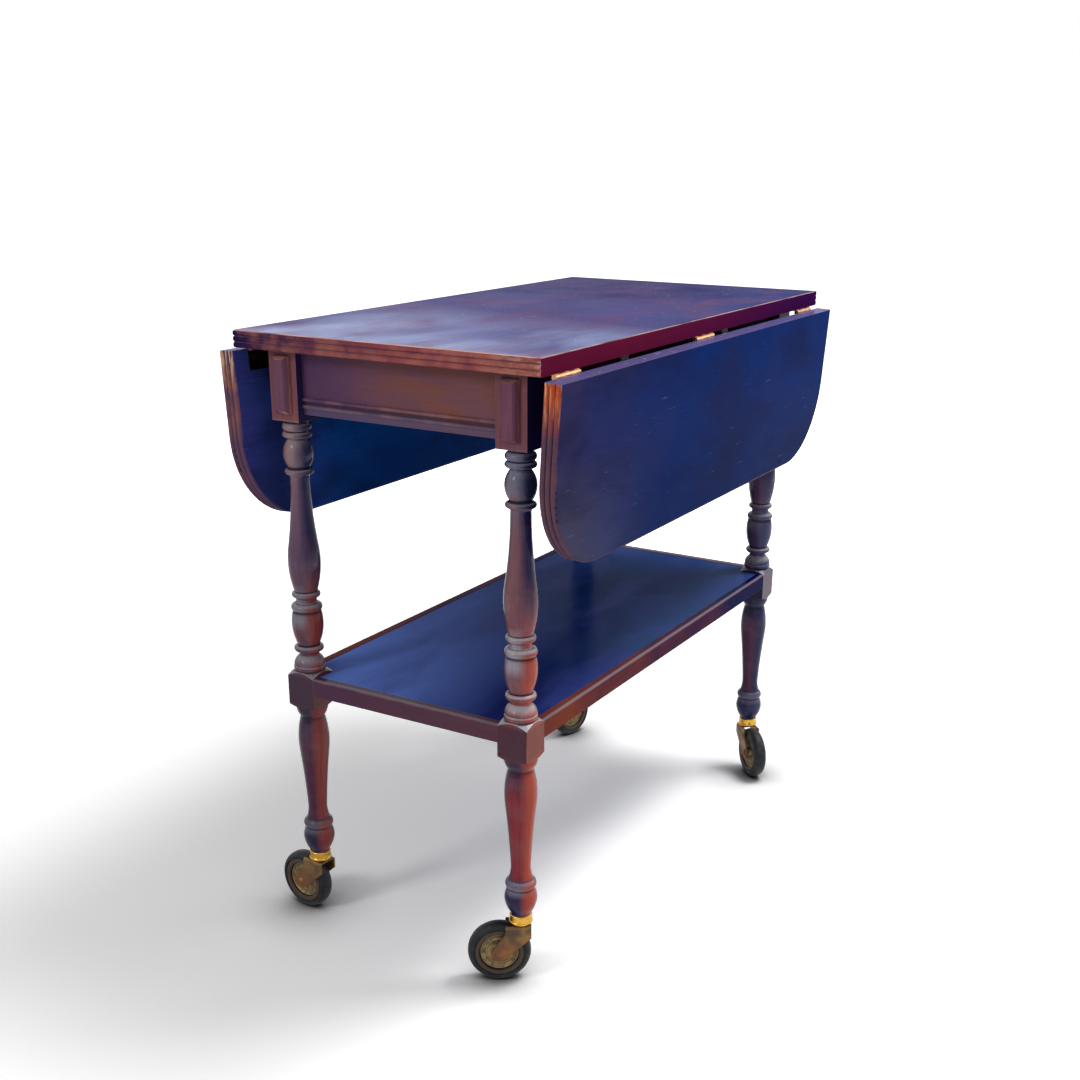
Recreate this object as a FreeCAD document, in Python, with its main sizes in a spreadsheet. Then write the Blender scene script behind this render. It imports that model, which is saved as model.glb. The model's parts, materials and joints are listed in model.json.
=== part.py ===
import FreeCAD, Part
import os
import re
import Sketcher

# Drop leaf tea trolley: a narrow table with a hinged leaf along each side, turned legs, a low shelf and four
# castors. X runs along the table's length, Y across it, Z up. The origin is on the floor under the centre.
# The front end is at -X and the right side at -Y. Lengths are in millimetres, angles in degrees.

SIZES = {
    # table top and leaves
    "top_length": 762.0,
    "top_width": 392.0,
    "table_height": 730.0,
    "board_thickness": 19.5,
    "reed_radius": 3.3,
    "leaf_width": 203.0,
    "leaf_corner": 105.0,
    "joint_gap": 0.4,
    "hang_angle": 93.2,
    # legs
    "leg_side": 38.0,
    "leg_inset_x": 42.5,
    "leg_inset_y": 48.0,
    "upper_block": 80.5,
    "shelf_height": 324.0,
    "shelf_block": 38.4,
    "waste_radius": 27.6,
    "pommel_inner": 17.6,
    "pommel_rise": 5.5,
    "pommel_drop": 1.2,
    # turning between the two square blocks: heights and radii of its members, from the top down
    "bead_root": 13.5,
    "root_height": 3.6,
    "top_bead_height": 9.2,
    "top_bead_radius": 17.0,
    "fillet_height": 1.0,
    "second_bead_height": 6.4,
    "second_bead_radius": 17.2,
    "quirk_height": 2.6,
    "quirk_radius": 11.2,
    "ball_height": 32.4,
    "ball_radius": 17.5,
    "ball_end": 11.9,
    "ball_fillet": 1.4,
    "collar_height": 6.2,
    "collar_radius": 16.9,
    "cove_height": 4.0,
    "cove_waist": 11.8,
    "neck_radius": 11.3,
    "throat_radius": 12.8,
    "belly_top": 17.2,
    "belly_height": 56.0,
    "belly_radius": 19.0,
    "belly_end": 14.3,
    "belly_fillet": 2.4,
    "ring_height": 7.2,
    "ring_radius": 16.9,
    "waist_height": 6.9,
    "waist_radius": 12.3,
    "barrel_bead_height": 8.9,
    "barrel_bead_radius": 18.4,
    "barrel_height": 40.2,
    "barrel_top": 16.8,
    "barrel_radius": 18.7,
    "barrel_end": 14.0,
    "barrel_fillet": 3.6,
    "low_ring_height": 7.4,
    "low_ring_radius": 17.6,
    "bell_neck_height": 6.2,
    "bell_neck": 11.9,
    "bell_top": 13.4,
    "bell_height": 9.6,
    "bell_shoulder": 17.2,
    "bell_radius": 18.7,
    "disc_groove": 0.8,
    "disc_height": 6.8,
    "disc_radius": 19.2,
    # turning below the shelf block: heights and radii of its members, from the top down
    "knee_top": 19.4,
    "knee_drop": 2.4,
    "knee_height": 12.0,
    "knee_radius": 18.4,
    "knee_end": 15.4,
    "vase_fillet": 1.8,
    "vase_top": 14.7,
    "vase_height": 45.6,
    "vase_radius": 18.6,
    "vase_end": 17.9,
    "taper_radius": 14.1,
    "ankle_radius": 11.6,
    "ankle_height": 17.0,
    "ankle_waist": 12.1,
    "ankle_end": 14.2,
    "foot_ring_root": 15.9,
    "foot_ring_height": 10.0,
    "foot_ring_radius": 18.2,
    "foot_groove": 1.6,
    "foot_groove_step": 0.5,
    "foot_shoulder_height": 12.4,
    "foot_shoulder_radius": 18.5,
    "foot_ball_radius": 19.1,
    "foot_ball_height": 18.0,
    "foot_ball_waist": 17.2,
    "foot_end": 12.4,
    "foot_hollow": 2.5,
    # pads on the end faces of the upper blocks
    "pad_width": 20.5,
    "pad_height": 64.0,
    "pad_lift": 9.0,
    "pad_proud": 8.0,
    "pad_bevel": 4.2,
    # aprons
    "apron_height": 72.5,
    "apron_thickness": 20.0,
    "apron_recess": 10.0,
    "bead_radius": 2.2,
    "lower_bead_lift": 9.2,
    "upper_bead_lift": 17.0,
    # shelf
    "rail_height": 21.0,
    "rail_thickness": 20.0,
    "rail_round": 2.0,
    "panel_thickness": 6.0,
    "panel_lap": 8.0,
    "panel_gap": 0.3,
    "panel_drop": 0.4,
    # dowels
    "dowel_radius": 4.0,
    "dowel_length": 40.0,
    "rail_dowel_length": 30.0,
    "end_dowel_lift": 15.0,
    "side_dowel_lift": 27.0,
    "dowel_spacing": 36.0,
    # corner blocks and their screws
    "corner_reach": 46.0,
    "corner_height": 30.0,
    "block_screw_length": 38.0,
    "block_screw_radius": 2.2,
    "block_screw_head": 4.2,
    "leg_screw_lift": 20.4,
    "top_screw_inset": 7.6,
    # hinges
    "hinge_length": 50.0,
    "hinge_spread": 330.0,
    "hinge_plate_width": 25.0,
    "hinge_plate_thickness": 1.6,
    "plate_clearance": 0.5,
    "knuckle_radius": 3.0,
    "knuckle_gap": 0.3,
    "barrel_gap": 0.3,
    "pin_radius": 1.5,
    "pin_clearance": 0.05,
    "screw_length": 13.0,
    "screw_radius": 1.5,
    "screw_head": 3.1,
    "screw_spacing": 17.0,
    # folding stays that carry a raised leaf
    "stay_spread": 140.0,
    "stay_pivot_in": 28.0,
    "stay_pivot_drop": 40.8,
    "stay_lug_out": 60.0,
    "stay_lug_drop": 6.9,
    "long_arm": 52.6,
    "arm_half_width": 5.5,
    "arm_thickness": 2.0,
    "arm_gap": 0.3,
    "rivet_radius": 2.0,
    "rivet_head": 3.6,
    "rivet_head_height": 1.2,
    "bracket_width": 18.0,
    "bracket_height": 40.0,
    "bracket_screw_out": 10.8,
    "bracket_screw_spacing": 9.7,
    "lug_length": 40.0,
    "lug_screw_spread": 13.2,
    # castors
    "wheel_radius": 37.0,
    "tyre_width": 19.0,
    "tyre_crown": 7.5,
    "tyre_shoulder_drop": 1.8,
    "tyre_shoulder_out": 6.1,
    "tyre_wall_bulge": 0.6,
    "rim_radius": 22.5,
    "rim_half_width": 6.2,
    "rim_edge": 1.0,
    "rim_step": 2.5,
    "disc_half_width": 4.6,
    "hub_radius": 7.0,
    "hub_step": 1.5,
    "hub_gap": 0.3,
    "side_clearance": 0.8,
    "axle_radius": 3.0,
    "axle_head": 5.2,
    "axle_head_height": 2.4,
    "axle_clearance": 0.05,
    "castor_trail": 25.0,
    "fork_thickness": 2.5,
    "fork_bend": 3.4,
    "fork_front": 12.0,
    "fork_back": 18.0,
    "fork_front_depth": 15.0,
    "fork_back_depth": 10.0,
    "fork_bridge_back": 6.0,
    "fork_eye": 9.5,
    "eye_back_angle": 15.0,
    "eye_front_angle": 42.0,
    "wheel_headroom": 2.0,
    "ferrule_radius": 13.2,
    "ferrule_wall": 1.7,
    "ferrule_height": 11.5,
    "ferrule_floor": 2.0,
    "ferrule_lip": 0.8,
    "ferrule_lip_height": 3.4,
    "bearing_gap": 0.3,
    "washer_radius": 9.5,
    "washer_height": 1.0,
    "stem_radius": 3.95,
    "stem_length": 40.0,
    "stem_point": 1.0,
    "stem_clearance": 0.05,
    "socket_wall": 1.4,
    "socket_depth": 46.0,
    # the way each castor's wheel trails
    "front_right_swivel": 122.0,
    "front_left_swivel": 85.0,
    "rear_right_swivel": 225.0,
    "rear_left_swivel": 165.0,
}

doc = FreeCAD.newDocument("DropLeafTeaTrolley")
sheet = doc.addObject("Spreadsheet::Sheet", "Sizes")
for row, (alias, value) in enumerate(SIZES.items(), start=1):
    sheet.set(f"A{row}", alias)
    sheet.set(f"B{row}", str(value))
    sheet.setAlias(f"B{row}", alias)
doc.recompute()

# Derived places and sizes, as expressions of the sheet's cells

LEG_X = "(top_length / 2 - leg_inset_x)"
LEG_Y = "(top_width / 2 - leg_inset_y)"
UNDERSIDE = "(table_height - board_thickness)"
BLOCK_BASE = f"({UNDERSIDE} - upper_block)"
SHELF_BLOCK_BASE = "(shelf_height - shelf_block)"
APRON_BASE = f"({UNDERSIDE} - apron_height)"
RAIL_BASE = "(shelf_height - rail_height)"
PIN_DROP = "(knuckle_radius + barrel_gap)"
PIN_HEIGHT = f"({UNDERSIDE} - {PIN_DROP})"
REED_PITCH = "((board_thickness - 2 * reed_radius) / 2)"
REED_VALLEY = f"sqrt(pow(reed_radius; 2) - pow({REED_PITCH} / 2; 2))"
FORK_INSIDE = "(tyre_width / 2 + side_clearance)"
WHEEL_UNDER_BRIDGE = "sqrt(pow(wheel_radius; 2) - pow(castor_trail - fork_bridge_back; 2))"
BRIDGE_BASE = f"(wheel_radius + {WHEEL_UNDER_BRIDGE} + wheel_headroom)"
BRIDGE_TOP = f"({BRIDGE_BASE} + fork_thickness)"
FERRULE_BASE = f"({BRIDGE_TOP} + washer_height + bearing_gap)"
FERRULE_TOP = f"({FERRULE_BASE} + ferrule_height)"
LEG_FOOT = f"({FERRULE_BASE} + ferrule_floor)"
SOCKET_RADIUS = "(stem_radius + stem_clearance + socket_wall)"

# each corner: the signs of its X and Y, and the turn that brings the front right corner there
CORNERS = {
    "front_right": (-1, -1, 0),
    "rear_right": (1, -1, 90),
    "rear_left": (1, 1, 180),
    "front_left": (-1, 1, 270),
}
# each side: the turn that brings the right side there
SIDES = {"right": 0, "left": 180}


# Helpers

def sized(text):
    """An expression with every size written as its cell in the sheet."""
    return re.sub(r"[a-z_]\w*", lambda word: f"Sizes.{word[0]}" if word[0] in SIZES else word[0], str(text))


def worth(text):
    """The present value of an expression."""
    return float(sheet.evalExpression(sized(text)))


def bind(thing, **sizes):
    """Ties properties of an object to expressions."""
    for name, text in sizes.items():
        thing.setExpression(name, sized(text))
    return thing


def put(thing, x=0, y=0, z=0, yaw=0, pitch=0, roll=0):
    """Gives an object a placement made of expressions."""
    place = f"placement(vector({x}; {y}; {z}); rotation({yaw}; {pitch}; {roll}))"
    thing.setExpression("Placement", sized(place))
    return thing


def box(name, long, wide, high, x=0, y=0, z=0):
    """A box with its lowest corner at a place."""
    return put(bind(doc.addObject("Part::Box", name), Length=long, Width=wide, Height=high), x, y, z)


def rod(name, radius, height, **place):
    """A cylinder that stands on the place's origin until it is turned."""
    return put(bind(doc.addObject("Part::Cylinder", name), Radius=radius, Height=height), **place)


def group(label, links, **place):
    """Separate solids that share a place."""
    thing = doc.addObject("Part::Compound", label)
    thing.Label = label
    thing.Links = links
    return put(thing, **place)


def fuse(name, shapes, **place):
    """Shapes joined into one solid."""
    thing = doc.addObject("Part::MultiFuse", name)
    thing.Shapes = shapes
    thing.Refine = True
    return put(thing, **place)


def shared(name, shapes):
    """What several shapes have in common."""
    thing = doc.addObject("Part::MultiCommon", name)
    thing.Shapes = shapes
    return thing


def cut(label, base, *tools, **place):
    """A base less its tools."""
    thing = doc.addObject("Part::Cut", label)
    thing.Label = label
    thing.Base = base
    thing.Tool = group(f"{label}_cutters", tools)
    return put(thing, **place)


def new_sketch(body, name, role, lift=0):
    """A sketch on one of the body's own origin planes, or lifted off it."""
    sketch = body.newObject("Sketcher::SketchObject", name)
    plane = next(item for item in body.Origin.OriginFeatures if item.Role == role)
    sketch.AttachmentSupport = [(plane, "")]
    sketch.MapMode = "FlatFace"
    sketch.setExpression("AttachmentOffset", sized(f"placement(vector(0; 0; {lift}); rotation(0; 0; 0))"))
    return sketch


def tie(sketch, geometry, end, x, y):
    """Holds a point of a sketch at bound distances from the sketch's origin."""
    for kind, text in (("DistanceX", x), ("DistanceY", y)):
        number = sketch.addConstraint(Sketcher.Constraint(kind, -1, 1, geometry, end, worth(text)))
        sketch.setExpression(f"Constraints[{number}]", sized(text))


def edge(sketch, start, stop):
    """Draws one line, or an arc where the stop names a middle point. Returns it with its ends in order."""
    first = FreeCAD.Vector(worth(start[0]), worth(start[1]), 0)
    last = FreeCAD.Vector(worth(stop[0]), worth(stop[1]), 0)
    if len(stop) == 2:
        return sketch.addGeometry(Part.LineSegment(first, last)), 1, 2
    middle = FreeCAD.Vector(worth(stop[2]), worth(stop[3]), 0)
    arc = sketch.addGeometry(Part.Arc(first, middle, last))
    begins = sketch.getPoint(arc, 1)
    forward = begins.distanceToPoint(first) < begins.distanceToPoint(last)
    guide = sketch.addGeometry(Part.Point(middle), True)
    tie(sketch, guide, 1, stop[2], stop[3])
    sketch.addConstraint(Sketcher.Constraint("PointOnObject", guide, 1, arc))
    return (arc, 1, 2) if forward else (arc, 2, 1)


def outline(sketch, points, closed=True):
    """Draws a chain of bound points: (x, y) ends a line, (x, y, middle x, middle y) ends an arc."""
    stops = points + points[:1] if closed else points
    edges = [edge(sketch, start, stop) for start, stop in zip(stops, stops[1:])]
    for (index, start, stop), point in zip(edges, stops):
        tie(sketch, index, start, point[0], point[1])
    followers = edges[1:] + edges[:1] if closed else edges[1:]
    for (index, _, stop), (following, start, _) in zip(edges, followers):
        sketch.addConstraint(Sketcher.Constraint("Coincident", index, stop, following, start))
    if not closed:
        index, _, stop = edges[-1]
        tie(sketch, index, stop, stops[-1][0], stops[-1][1])
    return sketch


def circle(sketch, radius, x):
    """Draws a bound circle on the sketch's horizontal axis."""
    centre = FreeCAD.Vector(worth(x), 0, 0)
    index = sketch.addGeometry(Part.Circle(centre, FreeCAD.Vector(0, 0, 1), worth(radius)))
    number = sketch.addConstraint(Sketcher.Constraint("Radius", index, worth(radius)))
    sketch.setExpression(f"Constraints[{number}]", sized(radius))
    tie(sketch, index, 3, x, 0)


def new_body(name, **place):
    return put(doc.addObject("PartDesign::Body", name), **place)


def pad(body, sketch, length, both_ways=False):
    """Pads a sketch by a bound length, upwards or both ways."""
    feature = body.newObject("PartDesign::Pad", f"{sketch.Name}_pad")
    feature.Profile = sketch
    feature.Midplane = both_ways
    return bind(feature, Length=length)


def turn(body, kind, sketch):
    """Revolves a sketch, or cuts a groove with it, round its vertical axis."""
    feature = body.newObject(f"PartDesign::{kind}", f"{sketch.Name}_{kind.lower()}")
    feature.Profile = sketch
    feature.ReferenceAxis = (sketch, ["V_Axis"])
    feature.Angle = 360
    return feature


def turned(name, points, **place):
    """A solid turned round the body's Z axis from an outline of radii and heights."""
    body = new_body(name, **place)
    turn(body, "Revolution", outline(new_sketch(body, f"{name}_outline", "XZ_Plane"), points))
    return body


def plate(name, role, points, thickness, lift=0, both_ways=False, **place):
    """A flat piece padded from an outline."""
    body = new_body(name, **place)
    pad(body, outline(new_sketch(body, f"{name}_outline", role, lift), points), thickness, both_ways)
    return body


def screw(name, length, radius, head, **place):
    """A countersunk wood screw that points up, with the face of its head at the origin."""
    shank = [(radius, f"{head} - {radius}"), (radius, f"{length} - {radius}")]
    return turned(name, [(0, 0), (head, 0), *shank, (0, length)], **place)


def on_side(side, x, y, z, **turning):
    """A place given for the right side, brought to either side."""
    sign = -1 if side == "left" else 1
    return dict(x=f"{sign} * ({x})", y=f"{sign} * ({y})", z=z, yaw=SIDES[side], **turning)


# Castors. Each is laid out with its swivel axis on Z and its wheel trailing towards +X.

def castor(corner):
    """The pieces that turn with one castor: fork, stem, axle, wheel disc and tyre."""
    sign_x, sign_y, _ = CORNERS[corner]
    stand = dict(x=f"{sign_x} * {LEG_X}", y=f"{sign_y} * {LEG_Y}", yaw=f"{corner}_swivel")

    # the fork is a strip bent over the wheel, trimmed to the shape of its side and open behind its bridge
    half_fork = f"({FORK_INSIDE} + fork_thickness)"
    side = plate(f"{corner}_fork_side", "XZ_Plane", [
        ("-fork_front", BRIDGE_TOP),
        ("-fork_front", f"{BRIDGE_TOP} - fork_front_depth"),
        ("castor_trail - fork_eye * cos(eye_front_angle)", "wheel_radius - fork_eye * sin(eye_front_angle)"),
        ("castor_trail + fork_eye * cos(eye_back_angle)", "wheel_radius + fork_eye * sin(eye_back_angle)",
         "castor_trail + fork_eye * sin(eye_back_angle)", "wheel_radius - fork_eye * cos(eye_back_angle)"),
        ("fork_back", f"{BRIDGE_TOP} - fork_back_depth"),
        ("fork_back", BRIDGE_TOP),
    ], f"2 * {half_fork}", both_ways=True)
    strip_end = "(wheel_radius - 2 * fork_eye)"
    bend_out = f"({half_fork} - fork_bend * (1 - sqrt(0.5)))"
    bend_up = f"({BRIDGE_TOP} - fork_bend * (1 - sqrt(0.5)))"
    strip = plate(f"{corner}_fork_strip", "YZ_Plane", [
        (f"-{half_fork}", strip_end),
        (f"-{half_fork}", f"{BRIDGE_TOP} - fork_bend"),
        (f"-({half_fork} - fork_bend)", BRIDGE_TOP, f"-{bend_out}", bend_up),
        (f"{half_fork} - fork_bend", BRIDGE_TOP),
        (half_fork, f"{BRIDGE_TOP} - fork_bend", bend_out, bend_up),
        (half_fork, strip_end),
        (FORK_INSIDE, strip_end),
        (FORK_INSIDE, BRIDGE_BASE),
        (f"-{FORK_INSIDE}", BRIDGE_BASE),
        (f"-{FORK_INSIDE}", strip_end),
    ], "fork_front + castor_trail + 2 * fork_eye", lift="-fork_front")
    opening = box(f"{corner}_fork_opening", "castor_trail + 2 * fork_eye", f"2 * {FORK_INSIDE}", BRIDGE_TOP,
                  "fork_bridge_back", f"-{FORK_INSIDE}", "wheel_radius")

    dome = "((pow(axle_head; 2) + pow(axle_head_height; 2)) / (2 * axle_head_height))"
    dome_middle = f"(sqrt(pow({dome}; 2) - pow(axle_head / 2; 2)) - {dome} + axle_head_height)"
    axle = turned(f"{corner}_axle_rivet", [
        (0, f"-{half_fork} - axle_head_height"),
        ("axle_head", f"-{half_fork}", "axle_head / 2", f"-{half_fork} - {dome_middle}"),
        ("axle_radius", f"-{half_fork}"),
        ("axle_radius", half_fork),
        ("axle_head", half_fork),
        (0, f"{half_fork} + axle_head_height", "axle_head / 2", f"{half_fork} + {dome_middle}"),
    ], x="castor_trail", z="wheel_radius", roll=90)
    stem = turned(f"{corner}_stem", [
        (0, BRIDGE_BASE),
        ("stem_radius", BRIDGE_BASE),
        ("stem_radius", BRIDGE_TOP),
        ("washer_radius", BRIDGE_TOP),
        ("washer_radius", f"{BRIDGE_TOP} + washer_height"),
        ("stem_radius", f"{BRIDGE_TOP} + washer_height"),
        ("stem_radius", f"{BRIDGE_TOP} + stem_length"),
        ("stem_radius - stem_point", f"{BRIDGE_TOP} + stem_length + stem_point"),
        (0, f"{BRIDGE_TOP} + stem_length + stem_point"),
    ])
    bore = "(axle_radius + axle_clearance)"
    hub_face = f"({FORK_INSIDE} - hub_gap)"
    disc = turned(f"{corner}_disc", [
        (bore, f"-{hub_face}"),
        ("hub_radius", f"-{hub_face}"),
        ("hub_radius + hub_step", "-disc_half_width"),
        ("rim_radius - rim_step", "-disc_half_width"),
        ("rim_radius - rim_edge", "-rim_half_width"),
        ("rim_radius", "-rim_half_width"),
        ("rim_radius", "rim_half_width"),
        ("rim_radius - rim_edge", "rim_half_width"),
        ("rim_radius - rim_step", "disc_half_width"),
        ("hub_radius + hub_step", "disc_half_width"),
        ("hub_radius", hub_face),
        (bore, hub_face),
    ], x="castor_trail", z="wheel_radius", roll=90)
    shoulder = "(wheel_radius - tyre_crown)"
    wall = (f"(rim_radius + {shoulder}) / 2", "((rim_half_width + tyre_width / 2) / 2 + tyre_wall_bulge)")
    tread = ("wheel_radius - tyre_shoulder_drop", "tyre_shoulder_out")
    tyre = turned(f"{corner}_rubber", [
        ("rim_radius", "-rim_half_width"),
        (shoulder, "-tyre_width / 2", wall[0], f"-{wall[1]}"),
        ("wheel_radius", 0, tread[0], f"-{tread[1]}"),
        (shoulder, "tyre_width / 2", *tread),
        ("rim_radius", "rim_half_width", *wall),
    ], x="castor_trail", z="wheel_radius", roll=90)
    fork = cut(f"{corner}_fork_bored", shared(f"{corner}_fork_blank", [strip, side]), opening, axle, stem)
    for name, piece in (("fork", fork), ("stem", stem), ("axle", axle), ("wheel_disc", disc), ("tyre", tyre)):
        nodes.append(group(f"{corner}_castor_{name}", [piece], **stand))


def castor_seat(corner):
    """The ferrule round a leg's end and the socket inside it, which stay with the leg."""
    sign_x, sign_y, _ = CORNERS[corner]
    stand = dict(x=f"{sign_x} * {LEG_X}", y=f"{sign_y} * {LEG_Y}")
    bore = "(stem_radius + stem_clearance)"
    inside = "(ferrule_radius - ferrule_wall)"
    ferrule = turned(f"{corner}_ferrule", [
        (bore, FERRULE_BASE),
        ("ferrule_radius", FERRULE_BASE),
        ("ferrule_radius", f"{FERRULE_BASE} + ferrule_lip_height",
         "ferrule_radius + ferrule_lip", f"{FERRULE_BASE} + ferrule_lip_height / 2"),
        ("ferrule_radius", f"{FERRULE_TOP} - ferrule_lip"),
        ("ferrule_radius - ferrule_lip", FERRULE_TOP),
        (inside, FERRULE_TOP),
        (inside, LEG_FOOT),
        (bore, LEG_FOOT),
    ], **stand)
    socket = turned(f"{corner}_socket", [
        (bore, LEG_FOOT),
        (SOCKET_RADIUS, LEG_FOOT),
        (SOCKET_RADIUS, f"{LEG_FOOT} + socket_depth"),
        (0, f"{LEG_FOOT} + socket_depth"),
        (0, f"{LEG_FOOT} + socket_depth - socket_wall"),
        (bore, f"{LEG_FOOT} + socket_depth - socket_wall"),
    ], **stand)
    hole = rod(f"{corner}_socket_hole", SOCKET_RADIUS, "socket_depth", z=LEG_FOOT, **stand)
    return ferrule, socket, hole


# Legs, each turned from one square blank

def stacked(start, steps):
    """Points down a turning. A step is (height, radius at its foot), with its middle radius for an arc."""
    points = []
    for height, radius, *middle in steps:
        foot = f"({start} - {height})"
        point = (radius, foot)
        if middle:
            point += (middle[0], f"({start} + {foot}) / 2")
        points.append(point)
        start = foot
    return points, start


def waste(sketch, top, hung, curve, standing, base):
    """Draws what the lathe takes off between two heights: members hung from the top, members that stand on
    the base, and one long curve between them, given by its middle radius and its radius at its foot."""
    above, above_foot = stacked(top, hung)
    standing_top = f"({base} + " + " + ".join(height for height, *_ in standing) + ")"
    middle_radius, foot_radius = curve
    long_curve = (foot_radius, standing_top, middle_radius, f"({above_foot} + {standing_top}) / 2")
    below, _ = stacked(standing_top, standing)
    ends = [("waste_radius", top), *above, long_curve, *below]
    if "waste_radius" not in below[-1]:
        ends.append(("waste_radius", base))
    return outline(sketch, ends)


def leg(corner, drillings):
    """One leg: a square blank with a turning between its blocks and another down to its foot."""
    sign_x, sign_y, angle = CORNERS[corner]
    body = new_body(f"{corner}_turning", x=f"{sign_x} * {LEG_X}", y=f"{sign_y} * {LEG_Y}", yaw=angle)
    half = "leg_side / 2"
    square = [(f"-{half}", f"-{half}"), (half, f"-{half}"), (half, half), (f"-{half}", half)]
    blank = new_sketch(body, f"{corner}_blank", "XY_Plane", LEG_FOOT)
    pad(body, outline(blank, square), f"{UNDERSIDE} - {LEG_FOOT}")
    baluster = new_sketch(body, f"{corner}_baluster", "XZ_Plane")
    waste(baluster, BLOCK_BASE, [
        ("0", "bead_root"),
        ("root_height", "bead_root"),
        ("top_bead_height", "bead_root", "top_bead_radius"),
        ("fillet_height", "bead_root"),
        ("second_bead_height", "bead_root", "second_bead_radius"),
        ("quirk_height", "ball_end", "quirk_radius"),
        ("ball_height", "ball_end", "ball_radius"),
        ("ball_fillet", "bead_root"),
        ("collar_height", "bead_root", "collar_radius"),
        ("cove_height", "neck_radius", "cove_waist"),
    ], ("throat_radius", "belly_top"), [
        ("belly_height", "belly_end", "belly_radius"),
        ("belly_fillet", "bead_root"),
        ("ring_height", "bead_root", "ring_radius"),
        ("waist_height", "bead_root", "waist_radius"),
        ("barrel_bead_height", "barrel_top", "barrel_bead_radius"),
        ("barrel_height", "barrel_end", "barrel_radius"),
        ("barrel_fillet", "bead_root"),
        ("low_ring_height", "bead_root", "low_ring_radius"),
        ("bell_neck_height", "bell_top", "bell_neck"),
        ("bell_height", "bell_radius", "bell_shoulder"),
        ("disc_groove", "pommel_inner"),
        ("disc_height", "pommel_inner", "disc_radius"),
        ("(pommel_rise + pommel_drop)", "waste_radius"),
    ], "(shelf_height - pommel_drop)")
    turn(body, "Groove", baluster)
    foot = new_sketch(body, f"{corner}_foot", "XZ_Plane")
    waste(foot, f"({SHELF_BLOCK_BASE} + pommel_drop)", [
        ("(pommel_drop + knee_drop)", "knee_top"),
        ("knee_height", "knee_end", "knee_radius"),
        ("vase_fillet", "vase_top"),
        ("vase_height", "vase_end", "vase_radius"),
    ], ("taper_radius", "ankle_radius"), [
        ("ankle_height", "ankle_end", "ankle_waist"),
        ("foot_groove", "foot_ring_root"),
        ("foot_ring_height", "foot_ring_root", "foot_ring_radius"),
        ("foot_groove", "foot_ring_root + foot_groove_step"),
        ("foot_shoulder_height", "foot_ball_radius", "foot_shoulder_radius"),
        ("foot_ball_height", "foot_end", "foot_ball_waist"),
        ("foot_hollow", "foot_end"),
        ("0", "ferrule_radius - ferrule_wall"),
        ("(ferrule_height - ferrule_floor)", "ferrule_radius - ferrule_wall"),
    ], LEG_FOOT)
    turn(body, "Groove", foot)
    nodes.append(cut(f"{corner}_leg", body, *drillings))


def corner_pad(corner):
    """The bevelled pad on the end face of an upper block."""
    sign_x, sign_y, _ = CORNERS[corner]
    body = new_body(f"{corner}_pad", x=f"{sign_x} * ({LEG_X} + leg_side / 2)", y=f"{sign_y} * {LEG_Y}",
                    z=f"{BLOCK_BASE} + pad_lift", yaw=90 * (1 + sign_x))
    face = [("0", "-pad_width / 2"), ("0", "pad_width / 2"),
            ("-(pad_proud - pad_bevel)", "pad_width / 2"), ("-pad_proud", "pad_width / 2 - pad_bevel"),
            ("-pad_proud", "-(pad_width / 2 - pad_bevel)"), ("-(pad_proud - pad_bevel)", "-pad_width / 2")]
    blank = pad(body, outline(new_sketch(body, f"{corner}_pad_section", "XY_Plane"), face), "pad_height")
    doc.recompute()
    ends = [f"Edge{number}" for number, line in enumerate(blank.Shape.Edges, start=1)
            if line.Length < worth("pad_width - pad_bevel") and line.BoundBox.ZLength < 0.1
            and line.BoundBox.XMax < worth("-pad_proud") + 0.1]
    bevel = body.newObject("PartDesign::Chamfer", f"{corner}_pad_bevel")
    bevel.Base = (blank, ends)
    bind(bevel, Size="pad_bevel - 0.01")
    return body


# Aprons, rails and the shelf. Each board is laid out with its outer face on X = 0 and its length along Y.

def board(name, section, run, reach, base, turning):
    """A board with one section along its length, at a reach from the table's centre."""
    body = new_body(name, x=f"-cos({turning}) * {reach}", y=f"-sin({turning}) * {reach}", z=base, yaw=turning)
    pad(body, outline(new_sketch(body, f"{name}_section", "XZ_Plane"), section), run, both_ways=True)
    return body


def beaded_section():
    """An end apron's section, with two beads near its lower edge."""
    points = [("0", "0")]
    for lift in ("lower_bead_lift", "upper_bead_lift"):
        points.append(("0", f"{lift} - bead_radius"))
        points.append(("0", f"{lift} + bead_radius", "-bead_radius", lift))
    return points + [("0", "apron_height"), ("apron_thickness", "apron_height"), ("apron_thickness", "0")]


PLAIN_SECTION = [("0", "0"), ("0", "apron_height"),
                 ("apron_thickness", "apron_height"), ("apron_thickness", "0")]
REBATE_FLOOR = "(rail_height - panel_drop - panel_thickness)"
ROUND_MIDDLE = "rail_round * (1 - sqrt(0.5))"
RAIL_SECTION = [("0", "0"), ("0", "rail_height - rail_round"),
                ("rail_round", "rail_height", ROUND_MIDDLE, f"rail_height - {ROUND_MIDDLE}"),
                ("rail_thickness - panel_lap", "rail_height"),
                ("rail_thickness - panel_lap", REBATE_FLOOR),
                ("rail_thickness", REBATE_FLOOR), ("rail_thickness", "0")]


def joint_dowels(name, reach, across, heights, length, turning):
    """Dowels through both ends of a board: they lie along the board, centred on its joints with the legs."""
    angle = f"({turning})"
    dowels = []
    for end in (-1, 1):
        for number, height in enumerate(heights, start=1):
            along = f"({end} * {across} - {length} / 2)"
            dowels.append(rod(
                f"{name}_dowel_{'low' if end < 0 else 'high'}_{number}", "dowel_radius", length,
                x=f"-cos{angle} * {reach} - sin{angle} * {along}",
                y=f"-sin{angle} * {reach} + cos{angle} * {along}",
                z=height, yaw=turning, roll=-90))
    return dowels


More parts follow.
